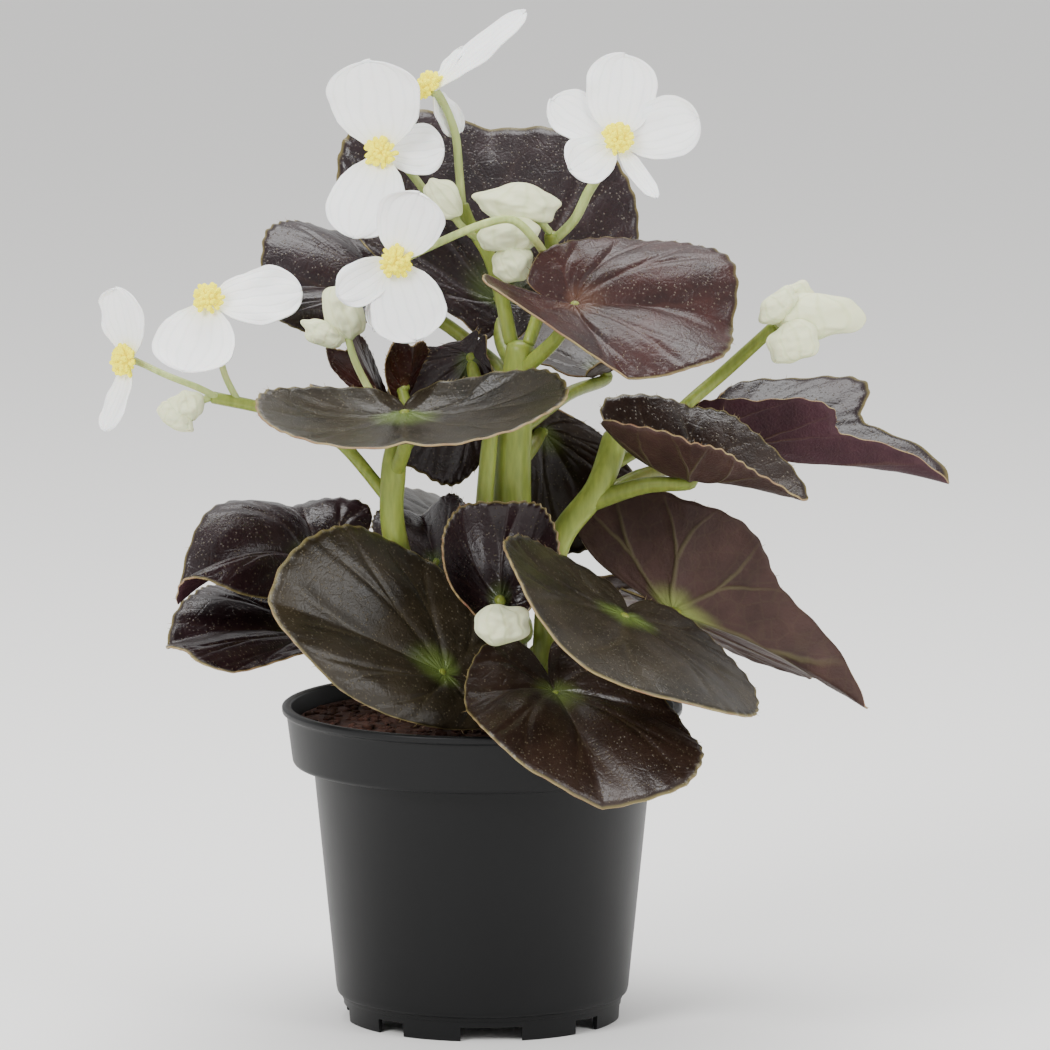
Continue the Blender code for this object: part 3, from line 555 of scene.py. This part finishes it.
# fleshy begonia stem: thin, wet-looking skin over watery green tissue, with streaks 1 mm wide and 6 mm long
# and patches of about 17 mm that are browner
def stemSkin(name, deep, pale, blush):
    material, tree, shader = newMaterial(name)
    place = addNode(tree, "ShaderNodeTexCoord")
    stretch = addNode(tree, "ShaderNodeMapping", {"Scale": (1.0, 1.0, 0.18)},
                      {"Vector": place.outputs["Object"]})
    streak = addNode(tree, "ShaderNodeTexNoise", {"Scale": 900.0, "Detail": 3.0},
                     {"Vector": stretch.outputs[0]})
    patch = addNode(tree, "ShaderNodeTexNoise", {"Scale": 60.0, "Detail": 3.0},
                    {"Vector": place.outputs["Object"]})
    colour = mixColours(tree, scaled(tree, streak.outputs["Fac"], -0.2, 1.2), hexColour(deep),
                        hexColour(pale))
    share = addNode(tree, "ShaderNodeMapRange", {"From Min": 0.55, "From Max": 0.8, "To Max": 0.6},
                    {"Value": patch.outputs["Fac"]})
    colour = mixColours(tree, share.outputs[0], colour, hexColour(blush))
    tree.links.new(colour, shader.inputs["Base Color"])
    shader.inputs["Roughness"].default_value = 0.38
    shader.inputs["IOR"].default_value = 1.4
    shader.inputs["Subsurface Weight"].default_value = 0.15
    shader.inputs["Subsurface Scale"].default_value = 0.002
    bump = addNode(tree, "ShaderNodeBump", {"Strength": 0.25, "Distance": 0.0002},
                   {"Height": streak.outputs["Fac"]})
    tree.links.new(bump.outputs[0], shader.inputs["Normal"])
    return material


# white begonia petal: thin, matt, watery tissue with faint grey ribs 2 to 3 mm apart from base to tip
def petalSkin(name, tint, rib, ribs, base):
    material, tree, shader = newMaterial(name)
    uv = addNode(tree, "ShaderNodeUVMap", {"uv_map": "UVMap"})
    parts = addNode(tree, "ShaderNodeSeparateXYZ", None, {0: uv.outputs["UV"]})
    place = addNode(tree, "ShaderNodeTexCoord")
    sway = addNode(tree, "ShaderNodeTexNoise", {"Scale": 120.0, "Detail": 2.0},
                   {"Vector": place.outputs["Object"]})
    turn = addNode(tree, "ShaderNodeMath", {"operation": "MULTIPLY_ADD", 1: float(ribs)},
                   {0: parts.outputs[0], 2: sway.outputs["Fac"]})
    turn = addNode(tree, "ShaderNodeMath", {"operation": "PINGPONG", 1: 0.5}, {0: turn.outputs[0]})
    line = addNode(tree, "ShaderNodeMapRange", {"interpolation_type": "SMOOTHSTEP", "From Min": 0.2,
        "From Max": 0.0}, {"Value": turn.outputs[0]})
    colour = mixColours(tree, scaled(tree, line.outputs[0], 0, 0.3), hexColour(tint), hexColour(rib))
    inner = addNode(tree, "ShaderNodeMapRange", {"From Min": 0.25, "From Max": 0.0, "To Max": 0.6},
                    {"Value": parts.outputs[1]})
    colour = mixColours(tree, inner.outputs[0], colour, hexColour(base))
    tree.links.new(colour, shader.inputs["Base Color"])
    shader.inputs["Roughness"].default_value = 0.6
    shader.inputs["IOR"].default_value = 1.4
    shader.inputs["Subsurface Weight"].default_value = 0.1
    shader.inputs["Subsurface Scale"].default_value = 0.001
    height = addNode(tree, "ShaderNodeMath", {"operation": "MULTIPLY_ADD", 1: -1.0},
                     {0: line.outputs[0], 2: sway.outputs["Fac"]})
    bump = addNode(tree, "ShaderNodeBump", {"Strength": 0.3, "Distance": 0.0003},
                   {"Height": height.outputs[0]})
    tree.links.new(bump.outputs[0], shader.inputs["Normal"])
    return material


# anthers dusted with pollen: matt grains about 0.1 mm wide, drawn at 0.3 mm so that they show, with a faint
# painted glow on top
def pollenSkin():
    material, tree, shader = newMaterial("pollenDustPaintedGlow")
    place = addNode(tree, "ShaderNodeTexCoord")
    grain = addNode(tree, "ShaderNodeTexNoise", {"Scale": 3300.0, "Detail": 2.0},
                    {"Vector": place.outputs["Object"]})
    colour = mixColours(tree, scaled(tree, grain.outputs["Fac"], -0.4, 1.4), hexColour("#f4e400"),
                        hexColour("#fffb00"))
    tree.links.new(colour, shader.inputs["Base Color"])
    # painted glow: a faint yellow emission brightens the anthers, though they give no light of their own
    shader.inputs["Emission Color"].default_value = hexColour("#f8ec00")
    shader.inputs["Emission Strength"].default_value = 0.3
    shader.inputs["Roughness"].default_value = 0.75
    bump = addNode(tree, "ShaderNodeBump", {"Strength": 0.4, "Distance": 0.0002},
                   {"Height": grain.outputs["Fac"]})
    tree.links.new(bump.outputs[0], shader.inputs["Normal"])
    return material


# black polypropylene, injection moulded: satin skin with a fine 0.6 mm grain and slow, faint flow marks
def polypropylene():
    material, tree, shader = newMaterial("polypropyleneMoulded")
    place = addNode(tree, "ShaderNodeTexCoord")
    flow = addNode(tree, "ShaderNodeTexNoise", {"Scale": 35.0, "Detail": 3.0},
                   {"Vector": place.outputs["Object"]})
    grain = addNode(tree, "ShaderNodeTexNoise", {"Scale": 1700.0, "Detail": 2.0},
                    {"Vector": place.outputs["Object"]})
    colour = mixColours(tree, flow.outputs["Fac"], hexColour("#060607"), hexColour("#0d0e0f"))
    tree.links.new(colour, shader.inputs["Base Color"])
    tree.links.new(scaled(tree, flow.outputs["Fac"], 0.36, 0.5), shader.inputs["Roughness"])
    shader.inputs["IOR"].default_value = 1.49
    shader.inputs["Specular IOR Level"].default_value = 0.22
    bump = addNode(tree, "ShaderNodeBump", {"Strength": 0.12, "Distance": 0.0001},
                   {"Height": grain.outputs["Fac"]})
    tree.links.new(bump.outputs[0], shader.inputs["Normal"])
    return material


# moist peat: matt, dark, red-brown fibre and crumb from 0.5 to 3 mm
def peatCrumb():
    material, tree, shader = newMaterial("peatMoist")
    place = addNode(tree, "ShaderNodeTexCoord")
    crumb = addNode(tree, "ShaderNodeTexVoronoi", {"Scale": 520.0}, {"Vector": place.outputs["Object"]})
    tone = addNode(tree, "ShaderNodeTexNoise", {"Scale": 330.0, "Detail": 6.0},
                   {"Vector": place.outputs["Object"]})
    colour = mixColours(tree, scaled(tree, tone.outputs["Fac"], -0.6, 1.6), hexColour("#1d1210"),
                        hexColour("#4a2c22"))
    colour = mixColours(tree, scaled(tree, crumb.outputs["Distance"], 0.4, 0), colour, hexColour("#6a4433"))
    tree.links.new(colour, shader.inputs["Base Color"])
    shader.inputs["Roughness"].default_value = 0.95
    bump = addNode(tree, "ShaderNodeBump", {"Strength": 0.8, "Distance": 0.001},
                   {"Height": tone.outputs["Fac"]})
    tree.links.new(bump.outputs[0], shader.inputs["Normal"])
    return material


margin = marginSkin()
skins = {
    "purple": (upperSkin("leafUpperPurple", "#12090b", "#271518", "#3a2a23", "#445228", 0.27),
               underSkin("leafUnderWine", "#2a161b", "#44262e", "#5a4636"), margin),
    "red": (upperSkin("leafUpperRed", "#170706", "#38120d", "#43231a", "#4f301f", 0.33),
            underSkin("leafUnderRed", "#3a1917", "#5b2f2a", "#6d5a40"), margin),
    "olive": (upperSkin("leafUpperOlive", "#15110b", "#31291b", "#413a28", "#5d7031", 0.34),
              underSkin("leafUnderOlive", "#3b2b22", "#564233", "#77764a"), margin),
    "brown": (upperSkin("leafUpperBrown", "#180f0c", "#302119", "#3d3223", "#54622d", 0.31),
              underSkin("leafUnderBrown", "#2b1c18", "#46302b", "#5e5a3a"), margin),
}
stalkSkin = stemSkin("leafStalk", "#66702c", "#87943f", "#75553a")
stemGreen = stemSkin("stemFleshy", "#6c7a2f", "#939f49", "#867543")
pedicel = stemSkin("flowerStalk", "#8c9c55", "#b5c27e", "#b0a070")
petalWhite = petalSkin("petalWhite", "#fafaf9", "#e4e6e5", 9, "#eef0de")
budCream = petalSkin("budCream", "#dce0b8", "#bcc68a", 9, "#b4c47e")
pollen = pollenSkin()
potPlastic = polypropylene()
peat = peatCrumb()
print("materials made")

stems = {
    "main_stem": (
        (6, 1, 68, 5.2), (7, 0, 110, 5.0), (8, 0, 148, 5.0), (9, 0, 166, 4.2),
        (10, 0, 177, 3.8)),
    "second_stem": ((-2, -8, 68, 2.4), (-1, -7.5, 110, 2.4), (1.5, -6, 148, 2.2), (3.5, -5, 163, 1.6)),
    "left_stem": (
        (-12, -3, 68, 3.4), (-17, -8, 106, 3.3), (-23, -13, 131, 3.2), (-23, -13, 146, 3.2),
        (-22, -12, 154, 2.6)),
    "right_stem": (
        (16, -5, 68, 4.0), (17, -7, 106, 3.4), (20, -8, 127, 3.2), (30, -8, 141, 3.4),
        (35, -5, 154, 3.6)),
}
flowerStalks = {
    "peduncle_back": {
        "route": ((7.6, 1.4, 178.3, 1.9), (5, 4, 190, 1.9), (2, 6, 200, 1.8), (-3, 8, 208, 1.7),
                  (-5, 9, 213, 1.6))},
    "peduncle_centre": {
        "route": ((12.2, -0.5, 178.3, 1.7), (16, 5, 189, 1.8), (18, 6, 199, 1.8), (18, 4, 206, 1.8))},
    "peduncle_left": {
        "carrier": ("left_stem", 138),
        "route": ((-36, -6, 152, 1.7), (-47, -2, 158, 1.6), (-57, 0, 161, 1.6), (-70, -1, 164, 1.6))},
    "peduncle_right": {
        "carrier": ("right_stem", 146),
        "route": ((46, 4, 153, 1.7), (52, 5, 160, 1.7), (63, 9, 169, 1.7), (76, 2, 182, 1.6))},
}
flowers = {
    "flower_top": dict(
        centre=(-13, 6, 244), facing=(-0.6, -0.3, 0.7), radius=1.1, cup=-2,
        petals=(((11, 8, 264), 16), ((-5, 13, 254), 7), ((-6, 13, 232), 9)),
        foot=(-5.2, 9.2, 213.6), stalk=((-6, 9.5, 222), (-7, 9, 232), (-10, 8, 240))),
    "flower_upper": dict(
        centre=(-26, 0, 228), facing=(-0.35, -0.9, 0.1), radius=1.1, cup=2,
        petals=(((-29, -2, 252), 25), ((-33, -9, 207), 20), ((-10, 3, 229), 13)),
        carrier=("peduncle_back", 208.5), stalk=((-11, 11, 212), (-19, 10, 222), (-24, 5, 227))),
    "flower_middle": dict(
        centre=(-22, -20, 202), facing=(0, -0.98, 0.1), radius=1.1, cup=2,
        petals=(((-16, -22, 220), 17), ((-17, -24, 182), 19), ((-37, -22, 193), 11),
                ((-28, -17, 184), 7)),
        carrier=("peduncle_centre", 198), stalk=((14, -10, 206), (8, -14, 212), (0, -16, 211),
            (-12, -16, 206))),
    "flower_left": dict(
        centre=(-71, -6, 190), facing=(-0.1, -0.75, 0.65), radius=0.9, cup=2,
        petals=(((-47, -2, 192), 17), ((-77, -17, 173), 21)),
        carrier=("peduncle_left", 162.5), stalk=((-67, -1, 170), (-69, -1, 179), (-70.5, -3, 187))),
    "flower_far_left": dict(
        centre=(-92, -3, 174), facing=(-0.75, -0.65, 0.1), radius=0.9, cup=2,
        petals=(((-95, -4, 193), 16), ((-98, -6, 156), 9)),
        carrier=("peduncle_left", 163.6), stalk=((-74, -4, 167), (-82, -3, 170), (-89, -1, 173))),
    "flower_right": dict(
        centre=(35, -7, 232), facing=(0.15, -0.9, 0.45), radius=1.3, cup=2,
        petals=(((37, 2, 253), 18), ((18, -3, 242), 13), ((23, -13, 225), 13),
                ((56, -2, 237), 16), ((45, -15, 218), 5)),
        carrier=("peduncle_centre", 204), stalk=((24, 3, 210), (28, 2, 218), (33, -2, 226))),
}
buds = {
    "buds_centre": dict(
        foot=(17.5, 3.4, 206.9), stalk=((15, 1, 210),),
        lenses=(((10, -3, 215), (11, 4, 4.5), -5), ((7, -5, 207), (8, 4, 4.5), 10),
                ((8, -5, 200), (5, 3.5, 4.5), 25))),
    "buds_back": dict(
        carrier=("peduncle_back", 204), stalk=((-6, 4, 209),),
        lenses=(((-10, 2, 216), (4, 1.5, 5.5), 40),)),
    "buds_left": dict(
        foot=(-22.4, -12, 154.9), stalk=((-27, -9, 163), (-33, -10, 175)),
        lenses=(((-36, -10, 187), (5, 3.5, 7), 20), ((-41, -11, 182), (6, 2.5, 3), -25))),
    "buds_far_left": dict(
        foot=(-71.0, -1.1, 163.9), stalk=(),
        lenses=(((-77, -2, 162), (4.5, 3, 4), 10), ((-80, -3, 159), (5.5, 2, 2.5), -35))),
    "buds_right": dict(
        foot=(76.6, 1.6, 182.6), stalk=(),
        lenses=(((87, 0, 185), (11, 4, 6), 0), ((77, -2, 188), (6, 3, 3.5), 40),
                ((81, 3, 189), (5.5, 2.5, 4), 40), ((81, -4, 179), (7, 3.5, 5), 20))),
    "buds_low": dict(
        carrier=("main_stem", 98), stalk=((12, -15, 103), (11, -32, 111)),
        lenses=(((5, -43, 111), (7, 4, 5), 10),)),
}


def makeStem(node, route):
    points = [tuple(point) for point in route]
    piece = tubePiece(node + "_tube", points, 24, 0.08)
    return finishPiece(piece, [stemGreen], node)


petalShape = {"spread": ((0, 0.14), (0.1, 0.38), (0.22, 0.7), (0.36, 0.9), (0.5, 1.0), (0.7, 1.05),
                         (0.84, 1.03), (1.0, 0.95)),
              "thickness": 0.42, "ruffle": 0.8, "across": 28, "along": 30}


def petalSpread(forward):
    points = petalShape["spread"]
    for low, high in zip(points, points[1:]):
        if forward <= high[0]:
            break
    share = (forward - low[0]) / (high[0] - low[0])
    width = low[1] + (high[1] - low[1]) * share
    return width * math.sqrt(max(1 - max((forward - 0.6) / 0.4, 0) ** 2.8, 0))


def makePetal(name, centre, facing, tip, width, cup, seed):
    length = Vector(tip) - centre
    across = length.cross(facing).normalized() * width / 2
    up = across.cross(length).normalized()

    def place(u, v):
        forward = math.sin(v * math.pi / 2) ** 1.15
        turn = math.sin((u - 0.5) * math.pi)
        spread = petalSpread(forward)
        edge = abs(turn) ** 3
        sample = (turn * 2.2 + seed, forward * 3.5, seed * 2)
        ruffle = petalShape["ruffle"] * noise.noise(sample) * (0.4 + edge) * smoothStep(0.1, 0.5, forward)
        notch = 1 + 0.035 * noise.noise((turn * 3, seed, 0)) * forward
        bend = cup * 4 * forward * (1 - forward) * -0.5 + cup * 0.35 * abs(turn) * spread
        return centre + length * forward * notch + across * spread * turn + up * (bend + ruffle * 1.6)

    petal = gridPiece(name, petalShape["across"], petalShape["along"], place)
    wall = petal.modifiers.new("petal thickness", "SOLIDIFY")
    wall.thickness = petalShape["thickness"] * mm
    wall.offset = 0
    applyAll(petal)
    petal.data.materials.append(petalWhite)
    return petal


def makeFlower(node, flower, number):
    facing = Vector(flower["facing"]).normalized()
    centre = Vector(flower["centre"])
    start = flower["foot"] if "foot" in flower else onStem(*flower["carrier"])
    radius = flower["radius"]
    points = [(*point, radius) for point in (start, *flower["stalk"])] + [(*(centre - facing * 0.8),
        radius + 0.4)]
    stalk = tubePiece(node + "_stalk", points, 14, 0.05)
    stalk.data.materials.append(pedicel)
    petals = []
    for place, (tip, width) in enumerate(flower["petals"]):
        root = centre - facing * (0.4 + 0.25 * place)
        seed = number * 3.3 + place * 1.9
        petals.append(makePetal(f"{node}_petal{place}", root, facing, Vector(tip), width, flower["cup"],
                                seed))
    finishPiece(joinPieces(node + "_petals", [*petals, stalk]), None, node)
    makeStamens(node, centre, facing, number)


stamenShape = {"count": 70, "length": 3.5, "thread": 0.26, "anther": (0.58, 0.58, 1.05)}


def makeStamens(node, centre, facing, seed):
    # one anther on its thread, then a copy for each place on a dome, each with its own mesh
    deselectAll()
    bpy.ops.mesh.primitive_uv_sphere_add(segments=8, ring_count=6, radius=1)
    anther = bpy.context.object
    for vertex in anther.data.vertices:
        x, y, z = vertex.co
        club = 1 + 0.35 * z
        vertex.co = Vector((x * stamenShape["anther"][0] * club, y * stamenShape["anther"][1] * club,
                            z * stamenShape["anther"][2] + stamenShape["length"])) * mm
    deselectAll()
    bpy.ops.mesh.primitive_cylinder_add(vertices=6, radius=stamenShape["thread"] * mm,
                                        depth=stamenShape["length"] * mm,
                                        location=(0, 0, stamenShape["length"] / 2 * mm))
    thread = bpy.context.object
    bpy.ops.object.transform_apply(location=True, rotation=True, scale=True)
    model = joinPieces("stamenModel", [anther, thread])
    bpy.ops.object.shade_smooth()
    source = model.data
    turnTo = facing.to_track_quat("Z", "Y")
    chance = random.Random(seed + 7)
    copies = []
    for place in range(stamenShape["count"]):
        lean = math.acos(1 - 0.86 * (place + 0.5) / stamenShape["count"])
        spin = place * 2.399963
        direction = Vector((math.sin(lean) * math.cos(spin), math.sin(lean) * math.sin(spin),
                            math.cos(lean)))
        direction = (turnTo @ direction + Vector([chance.uniform(-0.16, 0.16)
            for axis in range(3)])).normalized()
        size = chance.uniform(0.78, 1.12)
        mesh = source.copy()
        copy = bpy.data.objects.new(f"{node}_stamen{place}", mesh)
        bpy.context.scene.collection.objects.link(copy)
        turn = direction.to_track_quat("Z", "Y")
        root = (centre + facing * 0.2) * mm
        for vertex in mesh.vertices:
            vertex.co = root + turn @ (vertex.co * size)
        copies.append(copy)
    bpy.data.objects.remove(model)
    knot = joinPieces(node + "_anthers", copies)
    finishPiece(knot, [pollen], node + "_stamens")


def makeLens(name, centre, halves, tilt, seed):
    # two rounded petals pressed together: a flat lens with a thin, wavy rim and a crease down each face
    turn = math.radians(tilt)
    deselectAll()
    bpy.ops.mesh.primitive_uv_sphere_add(segments=64, ring_count=40, radius=1)
    lens = bpy.context.object
    lens.name = name
    for vertex in lens.data.vertices:
        point = vertex.co.copy()
        flat = math.hypot(point.x, point.z)
        around = math.atan2(point.z, point.x)
        rim = math.exp(-(point.y / 0.22) ** 2)
        edge = noise.noise((math.cos(around) * 1.6, math.sin(around) * 1.6, seed))
        grow = 1 + 0.05 * math.sin(around * 5 + seed) * flat + 0.22 * edge * flat
        crumple = 0.34 * noise.noise(point * 1.9 + Vector((seed, 0, 0)))
        crumple += 0.1 * noise.noise(point * 4.5 + Vector((0, seed, 0)))
        x = point.x * halves[0] * (grow + 0.06 * rim)
        z = point.z * halves[2] * (grow + 0.06 * rim)
        y = point.y * halves[1] * (1 + crumple) + math.sin(around * 4 + seed * 2) * 0.35 * rim * flat
        y += 0.5 * math.exp(-(point.x / 0.1) ** 2) * (-1 if point.y > 0 else 1) * flat * (1 - flat)
        across, above = x * math.cos(turn) - z * math.sin(turn), x * math.sin(turn) + z * math.cos(turn)
        vertex.co = (Vector(centre) + Vector((across, y, above))) * mm
    bpy.ops.object.shade_smooth()
    lens.data.materials.append(budCream)
    return lens


def makeBuds(node, cluster, number):
    start = cluster["foot"] if "foot" in cluster else onStem(*cluster["carrier"])
    points = [(*point, 1.0) for point in (start, *cluster["stalk"], cluster["lenses"][0][0])]
    stalk = tubePiece(node + "_stalk", points, 12, 0.05)
    stalk.data.materials.append(pedicel)
    lenses = [makeLens(f"{node}_bud{place}", *lens, number * 2.3 + place * 1.3)
              for place, lens in enumerate(cluster["lenses"])]
    finishPiece(joinPieces(node + "_closed", [*lenses, stalk]), None, node)


pot = {"height": 83.0, "rim": 52.5, "bandTop": 51.3, "bandFoot": 49.7, "bandHeight": 15.5, "bodyTop": 44.3,
       "bodyFoot": 38.4,
       "foot": 36.2, "step": 7.5, "floor": 4.0, "wall": 1.2, "sides": 160, "wideNotch": 16.0,
       "narrowNotch": 8.5, "notchTurn": -86.0,
       "holes": 6, "holeRadius": 3.0, "holeRing": 22.0}


def roundCorners(profile, share=0.22, longest=0.55):  # each corner of an outline becomes three points
    rounded = [profile[0]]
    for before, corner, after in zip(profile, profile[1:], profile[2:]):
        corner = Vector(corner)
        arms = [Vector(end) - corner for end in (before, after)]
        near = [corner + arm * min(share, longest / max(arm.length, 0.001)) for arm in arms]
        rounded += [tuple(near[0]), tuple((near[0] + near[1] + corner * 2) / 4), tuple(near[1])]
    return rounded + [profile[-1]]


def turnedPiece(name, profile, sides):
    def place(u, v):
        radius, height = profile[round(v * (len(profile) - 1))]
        return Vector((radius * math.cos(math.tau * u), radius * math.sin(math.tau * u), height))
    return gridPiece(name, sides, len(profile) - 1, place)


def cutAway(piece, tool):
    step = piece.modifiers.new("cut", "BOOLEAN")
    step.object = tool
    step.operation = "DIFFERENCE"
    applyAll(piece)
    bpy.data.objects.remove(tool)


def makePot():
    bandFoot = pot["height"] - pot["bandHeight"]
    taper = (pot["bodyTop"] - pot["bodyFoot"]) / (bandFoot - pot["step"])
    inner = pot["floor"] + pot["wall"]
    outline = [(pot["foot"] - pot["wall"], pot["floor"]), (pot["foot"] - pot["wall"], 0), (pot["foot"], 0),
               (pot["foot"] + 0.4, pot["step"] - 1.5), (pot["bodyFoot"] - 0.3, pot["step"] - 0.6),
               (pot["bodyFoot"], pot["step"] + 0.6),
               (pot["bodyTop"], bandFoot), (pot["bandFoot"] - 0.6, bandFoot),
               (pot["bandFoot"], bandFoot + 0.8),
               (pot["bandTop"], pot["height"] - 2.4), (pot["rim"] - 0.1, pot["height"] - 1.9),
               (pot["rim"], pot["height"] - 0.5),
               (pot["rim"] - 0.7, pot["height"]), (pot["bandTop"] - pot["wall"], pot["height"] - 0.2),
               (pot["bandFoot"] - pot["wall"], bandFoot + pot["wall"] + 0.6),
               (pot["bodyTop"] - pot["wall"], bandFoot + pot["wall"]),
               (pot["bodyFoot"] - pot["wall"] - taper * (pot["step"] - inner), inner)]
    outline = [(0, pot["floor"]), *roundCorners([(0.5, pot["floor"]), *outline, (0.5, inner)]), (0, inner)]
    shell = turnedPiece("nursery_pot_shell", outline, pot["sides"])
    for number in range(8):
        width = pot["narrowNotch"] if number % 2 else pot["wideNotch"]
        turn = math.radians(pot["notchTurn"] + 45 * number)
        deselectAll()
        bpy.ops.mesh.primitive_cube_add(size=1, location=(math.cos(turn) * pot["foot"] * mm,
            math.sin(turn) * pot["foot"] * mm, 0), rotation=(0, 0, turn),
                                        scale=((2 * pot["wall"] + 4) * mm, width * mm,
                                            (2 * pot["floor"] - 0.6) * mm))
        cutAway(shell, bpy.context.object)
    for number in range(pot["holes"]):
        turn = math.tau * (number + 0.5) / pot["holes"]
        deselectAll()
        bpy.ops.mesh.primitive_cylinder_add(vertices=32, radius=pot["holeRadius"] * mm, depth=8 * mm,
                                            location=(math.cos(turn) * pot["holeRing"] * mm,
                                                math.sin(turn) * pot["holeRing"] * mm, 5 * mm))
        cutAway(shell, bpy.context.object)
    deselectAll()
    shell.select_set(True)
    bpy.context.view_layer.objects.active = shell
    bpy.ops.object.shade_smooth_by_angle(angle=math.radians(42))
    finishPiece(shell, [potPlastic], "nursery_pot")


soil = {"level": 78.6, "mound": 1.5, "radius": 48.2, "crumbs": 900, "crumbSize": (0.5, 1.5)}


def soilHeight(x, y):
    spread = math.hypot(x, y) / soil["radius"]
    rough = 0.9 * noise.noise((x * 0.16, y * 0.16, 1)) + 0.5 * noise.noise((x * 0.5, y * 0.5, 5))
    return soil["level"] + soil["mound"] * (1 - spread * spread) * 0.8 + rough * smoothStep(1, 0.9, spread)


def makeSoil():
    bandFoot = pot["height"] - pot["bandHeight"]
    wall = pot["wall"] + 0.3
    inner = pot["floor"] + pot["wall"] + 0.3
    sides = [(pot["bandFoot"] - wall + 0.4, soil["level"] - 0.6), (pot["bandFoot"] - wall, bandFoot + 4.5),
             (pot["bodyTop"] - wall, bandFoot + 3),
             (pot["bodyFoot"] - wall - 0.6, inner), (0, inner)]
    rings = 60

    def place(u, v):
        row = round(v * (rings + len(sides)))
        angle = math.tau * u
        if row <= rings:
            reach = soil["radius"] * row / rings
            x, y = reach * math.cos(angle), reach * math.sin(angle)
            return Vector((x, y, soilHeight(x, y)))
        radius, height = sides[row - rings - 1]
        return Vector((radius * math.cos(angle), radius * math.sin(angle), height))

    bed = gridPiece("potting_soil_bed", 160, rings + len(sides), place)
    chance = random.Random(3)
    deselectAll()
    bpy.ops.mesh.primitive_ico_sphere_add(subdivisions=1, radius=1)
    model = bpy.context.object
    crumbs = []
    for number in range(soil["crumbs"]):
        reach = (soil["radius"] - 1.8) * math.sqrt(chance.random())
        turn = chance.uniform(0, math.tau)
        x, y = reach * math.cos(turn), reach * math.sin(turn)
        size = chance.uniform(*soil["crumbSize"]) * (0.6 + 0.4 * chance.random())
        mesh = model.data.copy()
        for vertex in mesh.vertices:
            point = vertex.co * size * (1 + 0.5 * noise.noise(vertex.co * 2 + Vector((number, 0, 0))))
            spot = Vector((x, y, soilHeight(x, y) + size * 0.25))
            vertex.co = (spot + Vector((point.x * 1.3, point.y, point.z * 0.7))) * mm
        crumb = bpy.data.objects.new(f"crumb{number}", mesh)
        bpy.context.scene.collection.objects.link(crumb)
        crumbs.append(crumb)
    bpy.data.objects.remove(model)
    bed = joinPieces("potting_soil_bed", [bed, *crumbs])
    finishPiece(bed, [peat], "potting_soil")


routes = dict(stems)
for node, stalk in flowerStalks.items():
    start = [(*onStem(*stalk["carrier"]), stalk["route"][0][3])] if "carrier" in stalk else []
    routes[node] = (*start, *stalk["route"])

makePot()
print("pot made")
makeSoil()
print("soil made")
for node, route in routes.items():
    makeStem(node, route)
print("stems made")
for number, (node, leaf) in enumerate(leaves.items()):
    makeLeaf(node, leaf, number)
print("leaves made")
for number, (node, flower) in enumerate(flowers.items()):
    makeFlower(node, flower, number)
print("flowers made")
for number, (node, cluster) in enumerate(buds.items()):
    makeBuds(node, cluster, number)
print("buds made")

# pale floor, soft lights and the camera
studio = {"floor": "#f4f3f1", "wall": "#fbfbfb", "target": (0.0112, 0.0, 0.1302), "distance": 2.5,
          "rise": 8.5, "lens": 328.2}

deselectAll()
bpy.ops.mesh.primitive_plane_add(size=6, location=(0, 0, 0))
floor = bpy.context.object
floor.name = "floor"
floorPaint, tree, shader = newMaterial("floorPaint")
shader.inputs["Base Color"].default_value = hexColour(studio["floor"])
shader.inputs["Roughness"].default_value = 0.8
floor.data.materials.append(floorPaint)

world = bpy.data.worlds.new("studio")
bpy.context.scene.world = world
world.use_nodes = True
world.node_tree.nodes["Background"].inputs["Color"].default_value = hexColour(studio["wall"])
world.node_tree.nodes["Background"].inputs["Strength"].default_value = 1.0


def addLight(name, place, aim, size, power):
    light = bpy.data.lights.new(name, "AREA")
    light.shape = "SQUARE"
    light.size = size
    light.energy = power
    lamp = bpy.data.objects.new(name, light)
    bpy.context.scene.collection.objects.link(lamp)
    lamp.location = place
    lamp.rotation_euler = (Vector(aim) - Vector(place)).to_track_quat("-Z", "Y").to_euler()


addLight("softboxFrontLeft", (-0.7, -0.9, 0.85), (0, 0, 0.12), 0.5, 15)
addLight("softboxFrontRight", (0.9, -0.7, 0.55), (0, 0, 0.12), 0.5, 7)
addLight("softboxTop", (0.0, 0.25, 1.1), (0, 0, 0.12), 0.7, 12)

target = Vector(studio["target"]) + Vector(potAxis) * mm
rise = math.radians(studio["rise"])
lens = bpy.data.cameras.new("camera")
lens.lens = studio["lens"]
lens.sensor_width = 36
lens.clip_end = 20
camera = bpy.data.objects.new("camera", lens)
bpy.context.scene.collection.objects.link(camera)
camera.location = target + Vector((0, -math.cos(rise), math.sin(rise))) * studio["distance"]
camera.rotation_euler = (target - camera.location).to_track_quat("-Z", "Y").to_euler()
bpy.context.scene.camera = camera
